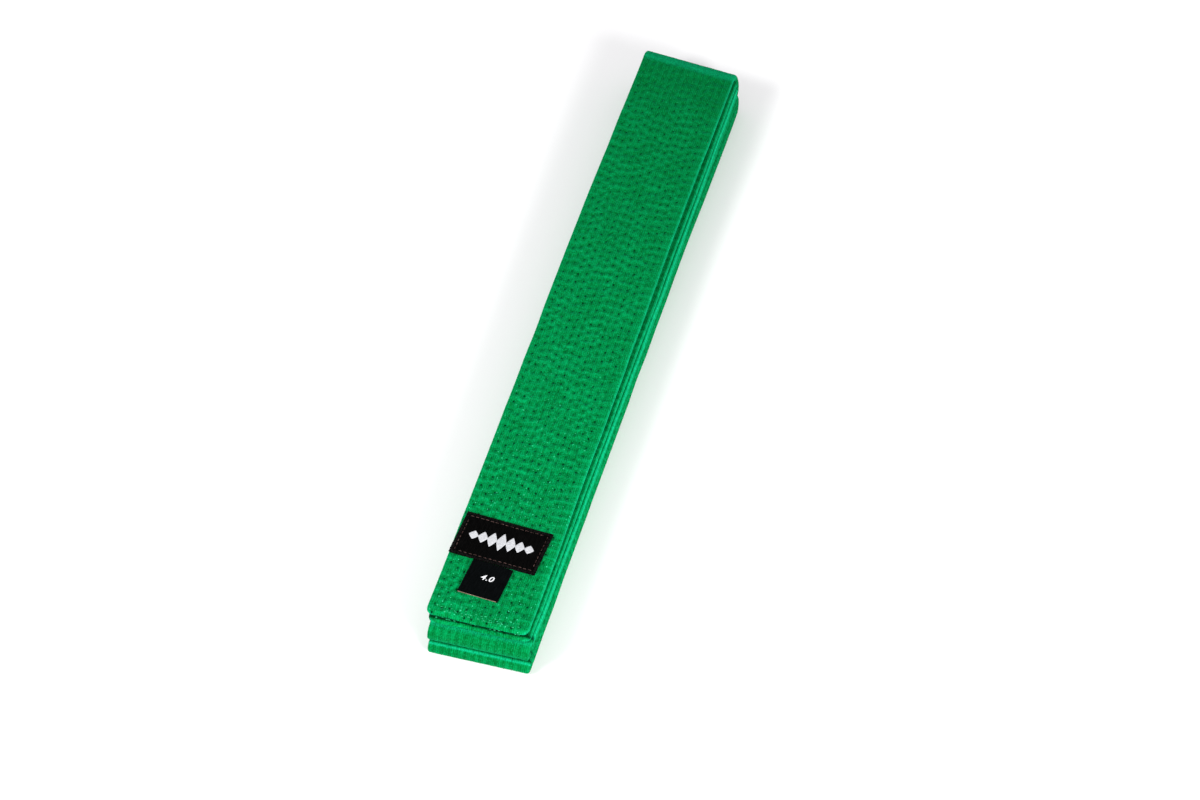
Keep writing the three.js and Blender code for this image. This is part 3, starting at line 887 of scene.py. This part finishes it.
def add_cover(name, step):
    """One stretch of the quilted cover as a closed mesh."""
    places = row_places(name, step)
    outer = np.concatenate([[places[0] - 0.3], places, [places[-1] + 0.3]])
    outer = np.clip(outer, 0, LENGTH)
    points, uv = belt_points(outer)
    normals = skin_normals(points)[1:-1]
    points, uv = points[1:-1], uv[1:-1]
    faces = tube_faces(len(places), COLUMNS)
    made = add_mesh(
        f"{name}_cover", points.reshape(-1, 3), faces, cotton,
        uv.reshape(-1, 2), normals.reshape(-1, 3),
    )
    every_s = np.repeat(places, COLUMNS)
    end_of_top = SPAN["layer_1"][1]
    # Smooth round folds: fewer quilting marks, and painted shade in the cotton.
    near_fold = share_along(every_s, end_of_top - 30, end_of_top - 8)
    round_fold = np.clip(np.abs(at(every_s)[2]) / 0.2, 0, 1)
    point_values(made, "stretched", np.maximum(round_fold, 0.8 * near_fold * (name == "layer_1")))
    at_side = np.abs(COLUMN_FACE) > SIDE_FROM
    outermost = np.where(at_side, np.abs(COLUMN_ROUND), -1.0)
    cornered = np.where(at_side, np.abs(COLUMN_ROUND), 1.0)
    outermost, cornered, up = (np.tile(v, len(places)) for v in (outermost, cornered, COLUMN_UP))
    # Painted highlight on fold crests and outer edges.
    point_values(made, "crest", painted_highlight(name, every_s, outermost))
    # Painted shade deep in creases.
    point_values(made, "tucked", tucked_shade(name, every_s, cornered, up))
    # How far along towards the far folds; the cotton paints shade by it.
    point_values(made, "far", share_along(points[..., 1].ravel(), -60, 160))
    follow(made, name, every_s)
    return made


# %% Make the covers
for name, _ in SEGMENTS:
    step = RUN_STEP if name.startswith("layer") else FOLD_STEP
    step = TOP_STEP if name == "layer_1" else step
    add_cover(name, step)

# %% [markdown]
# ## Stitches
# A lockstitch shows on both faces as a row of short threads, each sunk into a hole at both
# ends. Each one is a small closed tube of four rings with five sides, and all the stitches of a
# stretch are one mesh, computed as one array.


# %% Thread
def sewing_thread(name, colour, dark):
    """Twisted thread: slanting plies by a wave along the stitch, and uneven colour."""
    material, s, shader = new_material(name, 0.75, 0.0)
    flat_map = s.node("ShaderNodeUVMap", uv_map="cloth").outputs["UV"]
    parts = s.node("ShaderNodeSeparateXYZ")
    s.feed(parts.inputs[0], flat_map)
    slant = s.math("ADD", s.math("MULTIPLY", parts.outputs["X"], 9.0), parts.outputs["Y"])
    ply = s.math("SINE", s.math("MULTIPLY", slant, 12.0))
    uneven = s.noise(flat_map, 1.3, 2.0)
    s.feed(shader["Base Color"], s.mix(s.ramp(uneven, 0.3, 0.75), dark, colour))
    s.feed(shader["Normal"], s.bump(ply, 0.4, 0.00005))
    return material


RING_SIDES = 5
RING_AT = np.array([0.06, 0.26, 0.74, 0.94])
RINGS = len(RING_AT)


def thread_tubes(centre, up, radius):
    """Rings round lines of four points: centre + cos(t) r across + 0.8 sin(t) r up."""
    ahead = np.gradient(centre, axis=1)
    across = np.cross(ahead, up)
    across /= np.maximum(np.linalg.norm(across, axis=2), 1e-9)[:, :, None]
    turn = 2 * np.pi * np.arange(RING_SIDES) / RING_SIDES
    size = np.asarray(radius)[..., :, None, None]
    wide = np.cos(turn)[:, None] * across[:, :, None, :]
    tall = 0.8 * np.sin(turn)[:, None] * up[:, :, None, :]
    return (centre[:, :, None, :] + size * (wide + tall)).reshape(-1, 3)


def thread_faces(count):
    """Faces of that many small tubes, each with both ends closed."""
    ring, k = np.meshgrid(np.arange(RINGS - 1), np.arange(RING_SIDES), indexing="ij")
    a, b = ring * RING_SIDES + k, ring * RING_SIDES + (k + 1) % RING_SIDES
    quads = np.stack([a, a + RING_SIDES, b + RING_SIDES, b], axis=-1).reshape(-1, 4)
    first = np.arange(RING_SIDES)
    caps = np.stack([first, first[::-1] + (RINGS - 1) * RING_SIDES])
    shift = np.arange(count)[:, None, None] * RINGS * RING_SIDES
    quads, caps = quads[None] + shift, caps[None] + shift
    return quads.reshape(-1, 4).tolist() + caps.reshape(-1, RING_SIDES).tolist()


def add_threads(name, lines, ups, radius, material):
    """One mesh of many threads; lines and ups hold four points for each thread."""
    points = thread_tubes(lines, ups, radius)
    uv = np.repeat(lines[:, :, :2].reshape(-1, 2), RING_SIDES, axis=0)
    return add_mesh(name, points, thread_faces(len(lines)), material, uv)


def sewn_lines(x, s_mm, side, lift):
    """Lines and up directions of stitches that lie on the belt's cloth."""
    height = (skin_height(x, s_mm, side) + lift) * side
    _, normal, _ = at(s_mm)
    return on_belt(x, s_mm, height), side * normal


def hole_places(row, start, end):
    """Distances of a row's needle holes, where distance / stitch + drift is whole."""
    count = np.arange(np.floor(start / STITCH) - 2, np.ceil(end / STITCH) + 3)
    places = count * STITCH
    for _ in range(6):
        places = (count - drift(row, places)) * STITCH
    return places[(places > start) & (places < end)]


quilting_thread = sewing_thread(
    "quilting_thread", (0.003, 0.26, 0.070, 1.0), (0.001, 0.15, 0.032, 1.0)
)


# %% [markdown]
# The rows of a stretch are put together first, and then both faces are made at once. A stitch
# that would run past the end of its stretch is cut short there.


# %% Sew the rows
def add_quilting(name):
    """All the quilting stitches of one stretch, on both faces."""
    start, end = SPAN[name]
    low = start + (4.4 if name == "layer_1" else 0.0)
    high = end - (4.4 if name == "layer_2" else 0.0)
    lines, ups, every_s = [], [], []
    for row in range(ROWS):
        holes = hole_places(row, low - STITCH, high)
        first, second = holes[:-1], holes[1:]
        inside = (first >= low) & (first < high)
        first, second = first[inside], np.minimum(second[inside], high + 0.8)
        long_enough = second - first > 1.0
        first, second = first[long_enough], second[long_enough]
        ring_s = first[:, None] * (1 - RING_AT) + second[:, None] * RING_AT
        ring_x = FIRST_ROW + row * ROW_PITCH + 0.12 * (RING_AT - 0.5) + 0 * ring_s
        for side in (1, -1):
            line_points, up = sewn_lines(ring_x, ring_s, side, np.array([-0.5, 0.0, 0.0, -0.5]))
            lines.append(line_points)
            ups.append(up)
            every_s.append(ring_s)
    radius = 0.19 * np.array([0.6, 1.0, 1.0, 0.6])
    made = add_threads(
        f"{name}_quilting", np.concatenate(lines), np.concatenate(ups), radius, quilting_thread
    )
    follow(made, name, np.repeat(np.concatenate(every_s).ravel(), RING_SIDES))
    return made


quilting_rows = {n: add_quilting(n) for n, _ in SEGMENTS if not n.endswith("inner")}
print("quilting faces:", sum(len(c.data.polygons) for c in quilting_rows.values()))

# %% [markdown]
# ## Hems
# At each free end the cloth is turned in and sewn shut by rows across the belt. The thread
# stands on its crest, just behind the end, and its colour is painted paler than the cloth for
# the sheen it catches. The stitches are uneven and some have sunk out of sight, so each row
# keeps a random share of them.

# %% Sew the hems
# Its colours are paler than the cloth's: painted sheen.
hem_thread = sewing_thread(
    "hem_thread", (0.05, 0.52, 0.26, 1.0), (0.004, 0.28, 0.085, 1.0)
)


HEM_SHARE = 0.62


def add_hem(name, node, away):
    """Rows of stitches across one tip; away gives the distance along from a distance to it."""
    starts = np.arange(-17.6, 16.4, 1.9)
    rng = np.random.default_rng(len(node))
    lines, ups, every_s = [], [], []
    for to_tip, shift, lift in ((1.7, 0.0, 0.10), (2.6, 0.9, 0.04), (4.0, 0.3, 0.02)):
        kept = starts[rng.uniform(size=len(starts)) < HEM_SHARE] + shift
        x = kept[:, None] + rng.uniform(-0.5, 0.5, (len(kept), 1)) + 1.3 * RING_AT
        ring_s = away(to_tip + 0.35 * lattice_noise(x / 3, 0 * x + to_tip, 35))
        for side in (1, -1):
            line_points, up = sewn_lines(x, ring_s, side, np.array([-0.4, 0.0, 0.0, -0.4]) + lift)
            lines.append(line_points)
            ups.append(up)
            every_s.append(ring_s)
    radius = 0.17 * np.array([0.6, 1.0, 1.0, 0.6])
    made = add_threads(
        f"{name}_hem", np.concatenate(lines), np.concatenate(ups), radius, hem_thread
    )
    follow(made, name, np.repeat(np.concatenate(every_s).ravel(), RING_SIDES))
    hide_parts(node)
    return made


add_hem("layer_1", "label_end_hem_stitching", lambda d: d)
add_hem("layer_2", "run_2_hem_stitching", lambda d: LENGTH - d)

# %% [markdown]
# The visual pieces stand for the plain solids of the frame, which stay for collision.

# %% What the covers and rows stand for
STRETCH_NODES = {
    "layer_1": ["label_end", "run_1"],
    "upper_far_outer": ["bight_upper_far_outer"],
    "upper_far_inner": ["bight_upper_far_inner"],
    "front_outer": ["bight_front_outer"],
    "front_inner": ["bight_front_inner"],
    "lower_far_outer": ["bight_lower_far_outer"],
    "lower_far_inner": ["bight_lower_far_inner"],
    "centre": ["bight_centre"],
}
STRETCH_NODES.update({f"layer_{k}": [f"run_{k}"] for k in range(2, 9)})
for name, nodes in STRETCH_NODES.items():
    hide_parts(*[f"{n}_{part}" for n in nodes for part in ("cover", "core")])
    if name.startswith("layer"):
        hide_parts(*[f"{n}_quilting" for n in nodes])

# %% [markdown]
# ## Label
# A black woven label is sewn across the belt near the tip. It is a thin slab of cloth with a
# raised, overcast border, and it lies on the top layer a little askew. Places on it are given
# by u across and v along from its own middle, and one rule carries them onto the belt.

# %% Places on the label
LABEL_HALF = np.array([17.3, 10.5])
label_low, label_high = box_mm("label_patch")
LABEL_MIDDLE = (label_low + label_high) / 2
LABEL_TURN = np.radians(-4.0)


def belt_top(x, y):
    """Height of the top layer's cloth, without its quilting, under a label or tag."""
    s_mm = y - TIP_1
    slow = 0.07 * lattice_noise(x / 13 + 8, y / 10 + 8, 41)
    return ease(y, LAYER_Z[1]) + HALF_THICK + 0.20 + slow + curl(x, s_mm)


def on_label(u, v, lift):
    """Turns (u, v) by the label's angle about its middle, and lifts it off the belt."""
    x = LABEL_MIDDLE[0] + u * np.cos(LABEL_TURN) - v * np.sin(LABEL_TURN)
    y = LABEL_MIDDLE[1] + u * np.sin(LABEL_TURN) + v * np.cos(LABEL_TURN)
    return np.stack([x, y, belt_top(x, y) + lift], axis=-1)


def label_face(u, v):
    """Lift of the label's face: 0.42, a border of 0.16 and a valley under the stitch line."""
    from_edge = np.minimum(LABEL_HALF[0] - np.abs(u), LABEL_HALF[1] - np.abs(v))
    border = 0.16 * (1 - share_along(from_edge, 0.9, 1.4))
    valley = 0.13 * np.exp(-(((from_edge - 1.65) / 0.28) ** 2))
    return 0.42 + border - valley


# %% [markdown]
# Black cloth still has a visible weave under a strong light: the weft lies in fine slanting
# ribs, and lint dulls it here and there.


# %% Black label cloth
def black_weave(name, rib_mm, dark, light, roughness, coarse):
    """Black woven cloth: fine ribs and lint; coarse is the depth of the ribs in metres."""
    material, s, shader = new_material(name, roughness, 0.0)
    flat_map = s.node("ShaderNodeUVMap", uv_map="cloth").outputs["UV"]
    cloth = s.group(weave, Map=flat_map, Across_mm=rib_mm, Along_mm=rib_mm * 1.2)
    lint = s.ramp(s.noise(flat_map, 1.1, 4.0, 0.7), 0.45, 0.75)
    shade = s.mix(s.ramp(cloth["Warp"], 0.3, 0.9), dark, light)
    s.feed(shader["Base Color"], s.mix(s.math("MULTIPLY", lint, 0.4), shade, light))
    s.feed(shader["Roughness"], s.ramp(cloth["Warp"], 0.2, 0.9, roughness, roughness + 0.15))
    s.feed(shader["Normal"], s.bump(cloth["Height"], 0.5, coarse))
    return material


label_cloth = black_weave(
    "label_weave", 0.60, (0.0004, 0.0004, 0.0004, 1.0), (0.0030, 0.0028, 0.0027, 1.0), 0.8, 5e-5
)

# %% Weave the label
label_v = np.concatenate([[-10.5, -10.47, -10.38, -10.25], np.linspace(-10.1, 10.1, 120)])
label_v = np.concatenate([label_v, [10.25, 10.38, 10.47, 10.5]])
end_gap = np.clip(1 - (LABEL_HALF[1] - np.abs(label_v)) / 0.4, 0, 0.985)
label_end_share = np.sqrt(1 - end_gap**2)[:, None]
rough_edge = 0.07 * lattice_noise(label_v / 0.45, 0 * label_v, 51)
label_u = (LABEL_HALF[0] - 0.35 + rough_edge)[:, None] * COLUMN_FACE + 0.35 * COLUMN_ROUND
label_vs = np.repeat(label_v[:, None], COLUMNS, axis=1)
face_lift = label_face(label_u, label_vs)
half_lift = (face_lift + 0.25) / 2 * label_end_share
label_lift = -0.25 + (face_lift + 0.25) / 2 + half_lift * COLUMN_UP
label_points = on_label(label_u, label_vs, label_lift)
label = add_mesh(
    "label", label_points.reshape(-1, 3), tube_faces(len(label_v), COLUMNS), label_cloth,
    np.stack([label_u, label_vs], axis=-1).reshape(-1, 2),
    skin_normals(label_points).reshape(-1, 3),
)
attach(label, "label_end")
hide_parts("label_patch")
print("label, mm:", 2 * LABEL_HALF)

# %% [markdown]
# The label's border is overcast: a thread is laid over the edge every half millimetre. Inside
# it runs the brown line of stitches that holds the label on the belt.

# %% Threads round the label
border_thread = sewing_thread(
    "border_thread", (0.009, 0.008, 0.008, 1.0), (0.0015, 0.0012, 0.0012, 1.0)
)
brown_thread = sewing_thread(
    "label_thread", (0.13, 0.078, 0.070, 1.0), (0.016, 0.009, 0.009, 1.0)
)
SIDES = [(0, 1), (1, 0), (0, -1), (-1, 0)]


def round_label(spacing, short, from_edge, length):
    """(u, v) of threads round the label, in two columns: along each side, and into it.

    spacing is from one to the next and short the bare length at each corner."""
    places = []
    for out_u, out_v in SIDES:
        half_along = LABEL_HALF[0] if out_v else LABEL_HALF[1]
        half_out = LABEL_HALF[1] if out_v else LABEL_HALF[0]
        along = np.arange(-half_along + short, half_along - short - length, spacing)
        ring_along = along[:, None] + length * np.linspace(0, 1, RINGS)
        ring_out = half_out - from_edge + 0 * ring_along
        u = ring_out * out_u + ring_along * out_v
        v = ring_out * out_v - ring_along * out_u
        places.append(np.stack([u, v], axis=-1))
    return np.concatenate(places)


rng = np.random.default_rng(7)
border_uv = round_label(0.46, 0.25, np.array([-0.12, 0.12, 0.75, 1.25]), 0.18)
border_uv = border_uv + rng.uniform(-0.09, 0.09, border_uv.shape[:1] + (1, 2))
border_lift = np.array([0.0, 0.48, 0.62, 0.44]) + rng.uniform(-0.05, 0.05, (len(border_uv), 1))
border_lines = on_label(border_uv[..., 0], border_uv[..., 1], border_lift)
border_up = np.zeros_like(border_lines) + np.array([0.0, 0.0, 1.0])
border = add_threads(
    "label_border", border_lines, border_up, 0.2 * np.array([0.8, 1, 1, 0.6]), border_thread
)
run_uv = round_label(2.0, 1.7, 1.65, 1.6)
run_uv = run_uv + rng.uniform(-0.08, 0.08, run_uv.shape[:1] + (1, 2))
run_lift = label_face(run_uv[..., 0], run_uv[..., 1]) + np.array([-0.1, 0.10, 0.10, -0.1])
run_lines = on_label(run_uv[..., 0], run_uv[..., 1], run_lift)
run_up = np.zeros_like(run_lines) + np.array([0.0, 0.0, 1.0])
run_line_stitches = add_threads(
    "label_stitches", run_lines, run_up, 0.16 * np.array([0.6, 1, 1, 0.6]), brown_thread
)
for piece in (border, run_line_stitches):
    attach(piece, "label_end")
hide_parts("label_patch_stitching")
print("border threads:", len(border_uv), "stitches:", len(run_uv))

# %% [markdown]
# The label's figure is a plain chain of seven lozenges in pale thread, the tallest in the
# middle. Each is a low dome over a rhombus: |u| / width + |v| / height = 1, softened a little
# at its corners, with ribs where the pale weft lies side by side.

# %% Weave the figure
figure_material, s, figure_shader = new_material("emblem_thread", 0.75, 0.0)
flat_map = s.node("ShaderNodeUVMap", uv_map="cloth").outputs["UV"]
ribs = s.node("ShaderNodeSeparateXYZ")
s.feed(ribs.inputs[0], flat_map)
rib = s.math("SINE", s.math("MULTIPLY", ribs.outputs["Y"], 2 * np.pi / 0.34))
grey = s.noise(s.stretch(flat_map, (0.8, 3.0, 1.0)), 1.0, 3.0)
pale = s.mix(s.ramp(grey, 0.3, 0.7), (0.42, 0.43, 0.45, 1.0), (0.66, 0.67, 0.68, 1.0))
rib_shade = s.ramp(rib, -1.0, 0.2, 0.45, 0.0)
s.feed(figure_shader["Base Color"], s.mix(rib_shade, pale, (0.22, 0.22, 0.24, 1.0)))
s.feed(figure_shader["Normal"], s.bump(rib, 0.5, 0.00006))
HEIGHTS = np.array([4.2, 5.6, 7.2, 8.8, 7.2, 5.6, 4.2]) / 2
PITCH = 26.0 / 7
SPOKES = 48
REACH = np.array([0.15, 0.4, 0.65, 0.82, 0.93, 1.0, 1.0])
DOME = np.array([1.0, 1.0, 0.97, 0.9, 0.7, 0.3, -0.8])
spoke = 2 * np.pi * np.arange(SPOKES) / SPOKES
rim = (np.abs(np.cos(spoke)) ** 1.12 + np.abs(np.sin(spoke)) ** 1.12) ** (-1 / 1.12)
lozenge_u = (np.arange(7) - 3)[:, None, None] * PITCH
figure_u = lozenge_u + 0.53 * PITCH * REACH[:, None] * (rim * np.cos(spoke))
figure_v = HEIGHTS[:, None, None] * REACH[:, None] * (rim * np.sin(spoke)) + 0.3
figure_lift = label_face(0 * figure_u, 0 * figure_v) + 0.14 * DOME[:, None]
ring, k = np.meshgrid(np.arange(len(REACH) - 1), np.arange(SPOKES), indexing="ij")
a, b = ring * SPOKES + k, ring * SPOKES + (k + 1) % SPOKES
quads = np.stack([a, a + SPOKES, b + SPOKES, b], axis=-1).reshape(-1, 4)
lids = [np.arange(SPOKES), np.arange(SPOKES)[::-1] + (len(REACH) - 1) * SPOKES]
figure_faces = []
for shift in np.arange(7) * SPOKES * len(REACH):
    figure_faces += (quads + shift).tolist() + [(lid + shift).tolist() for lid in lids]
figure_points = on_label(figure_u, figure_v, figure_lift)
figure = add_mesh(
    "label_figure", figure_points.reshape(-1, 3), figure_faces, figure_material,
    np.stack([figure_u, figure_v], axis=-1).reshape(-1, 2),
)
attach(figure, "label_end")
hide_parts("label_emblem")
print("figure, mm:", 26.0, 2 * HEIGHTS.max())

# %% [markdown]
# ## Size tag
# The size tag is a short satin ribbon folded in half, with both its ends sewn in under the
# label's near edge. Its section is carried along a path: out on the upper ply, round the fold
# and back on the lower ply. It is cut 16.2 mm wide and about 33 mm long.

# %% Places on the tag
tag_low, tag_high = box_mm("size_tag")
TAG_HALF = (tag_high[0] - tag_low[0]) / 2
TAG_ROOT = np.array([(tag_low[0] + tag_high[0]) / 2, tag_high[1] + 0.35])
TAG_REACH = tag_high[1] + 0.35 - tag_low[1]
TAG_TURN = np.radians(-5.0)
PLY = 0.22


def on_tag(x, out, lift):
    """A place on the tag: x across and out from its root, turned about the root, and lifted."""
    world_x = TAG_ROOT[0] + x * np.cos(TAG_TURN) + out * np.sin(TAG_TURN)
    world_y = TAG_ROOT[1] + x * np.sin(TAG_TURN) - out * np.cos(TAG_TURN)
    return np.stack([world_x, world_y, belt_top(world_x, world_y) + lift], axis=-1)


fold_angle = np.linspace(np.pi / 2, -np.pi / 2, 13)
upper_out = np.linspace(0.0, TAG_REACH - 0.2, 90)
lower_out = upper_out[::-1]
tag_out = np.concatenate([upper_out, TAG_REACH - 0.2 + 0.2 * np.cos(fold_angle[1:-1]), lower_out])
puff = 0.10 * np.sin(np.pi * upper_out / TAG_REACH)
tag_lift = np.concatenate([
    0.62 + puff,
    0.42 + 0.2 * np.sin(fold_angle[1:-1]),
    (0.22 - 0.3 * puff)[::-1],
])
tag_ahead = np.stack([np.gradient(tag_out), np.gradient(tag_lift)], axis=1)
tag_ahead /= np.linalg.norm(tag_ahead, axis=1)[:, None]
tag_x = (TAG_HALF - 0.1) * COLUMN_FACE + 0.1 * COLUMN_ROUND + 0 * tag_out[:, None]
edge_down = -0.12 * (np.abs(tag_x) / TAG_HALF) ** 6
side_out = tag_out[:, None] + PLY / 2 * COLUMN_UP * tag_ahead[:, 1][:, None]
side_lift = tag_lift[:, None] - PLY / 2 * COLUMN_UP * tag_ahead[:, 0][:, None] + edge_down
tag_points = on_tag(tag_x, side_out, side_lift)
along_tag = np.cumsum(np.hypot(np.gradient(tag_out), np.gradient(tag_lift)))

# %% Fold the tag
satin = black_weave(
    "tag_satin", 0.16, (0.0005, 0.0008, 0.0009, 1.0), (0.0026, 0.0034, 0.0038, 1.0), 0.5, 1.5e-5
)
tag = add_mesh(
    "size_tag_ribbon", tag_points.reshape(-1, 3), tube_faces(len(tag_out), COLUMNS), satin,
    np.stack([tag_x, along_tag[:, None] + 0 * tag_x], axis=-1).reshape(-1, 2),
    skin_normals(tag_points).reshape(-1, 3),
)
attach(tag, "size_tag")
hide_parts("size_tag")
print("tag ribbon, mm:", round(2 * TAG_HALF, 1), "by", round(along_tag[-1], 1))

# %% [markdown]
# A beige selvedge shows along the tag's fold, as a row of short, close stitches.

# %% The tag's selvedge
beige_thread = sewing_thread(
    "tag_selvedge", (0.38, 0.27, 0.20, 1.0), (0.17, 0.11, 0.085, 1.0)
)
selvedge_x = np.arange(-TAG_HALF + 0.2, TAG_HALF - 0.9, 0.62)[:, None]
selvedge_x = selvedge_x + 0.7 * np.linspace(0, 1, RINGS)
selvedge_lines = on_tag(selvedge_x, TAG_REACH + 0.08 + 0 * selvedge_x, 0.50 + 0 * selvedge_x)
selvedge_up = np.zeros_like(selvedge_lines) + np.array([0.0, 0.0, 1.0])
selvedge = add_threads(
    "size_tag_selvedge", selvedge_lines, selvedge_up,
    0.15 * np.array([0.8, 1, 1, 0.8]), beige_thread,
)
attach(selvedge, "size_tag")

# %% [markdown]
# The belt's size is printed on the tag as a plain slanting number. The letters are made as a
# text curve, turned into a mesh whose faces are welded together, and only then carried onto
# the tag point by point, so the print lies on the satin like a thin film.

# %% Print the number
number_curve = bpy.data.curves.new("number", "FONT")
number_curve.body = "4.0"
number_curve.shear = 0.22
number_curve.offset = 0.016
number_curve.space_character = 1.12
number_curve.extrude = 0.02
number_curve.resolution_u = 8
number_text = bpy.data.objects.new("number", number_curve)
bpy.context.scene.collection.objects.link(number_text)
graph = bpy.context.evaluated_depsgraph_get()
number_mesh = bpy.data.meshes.new_from_object(number_text.evaluated_get(graph))
number_mesh.name = "size_number"
welded = bmesh.new()
welded.from_mesh(number_mesh)
bmesh.ops.remove_doubles(welded, verts=welded.verts, dist=0.0005)
welded.to_mesh(number_mesh)
welded.free()
flat = np.zeros(len(number_mesh.vertices) * 3, np.float32)
number_mesh.vertices.foreach_get("co", flat)
flat = flat.reshape(-1, 3)
span_low, span_high = flat.min(axis=0), flat.max(axis=0)
unit = 2.55 / (span_high[1] - span_low[1])
middle = (span_low + span_high) / 2
number_x = (flat[:, 0] - middle[0]) * unit * 1.08 + 0.5
number_out = TAG_REACH / 2 - (flat[:, 1] - middle[1]) * unit - 1.2
number_lift = np.interp(number_out, upper_out, 0.62 + puff) + PLY / 2
number_lift = number_lift + np.where(flat[:, 2] > middle[2], 0.03, -0.03)
number_points = on_tag(number_x, number_out, number_lift) * MM
number_mesh.vertices.foreach_set("co", number_points.astype(np.float32).ravel())
number_mesh.update()
bpy.data.objects.remove(number_text)
number = bpy.data.objects.new("size_number", number_mesh)
bpy.context.scene.collection.objects.link(number)
print("number, mm:", np.round(np.ptp(number_points, axis=0) / MM, 1))

# %% Ink
ink, s, ink_shader = new_material("tag_print", 0.6, 0.0)
object_place = s.node("ShaderNodeTexCoord").outputs["Object"]
worn = s.ramp(s.noise(object_place, 4000.0, 3.0), 0.3, 0.6)
s.feed(ink_shader["Base Color"], s.mix(worn, (0.42, 0.43, 0.44, 1.0), (0.78, 0.79, 0.8, 1.0)))
s.feed(ink_shader["Roughness"], s.ramp(worn, 0.0, 1.0, 0.75, 0.55))
number_mesh.materials.clear()
number_mesh.materials.append(ink)
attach(number, "size_tag")
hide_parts("size_tag_digit_left", "size_tag_point", "size_tag_digit_right")
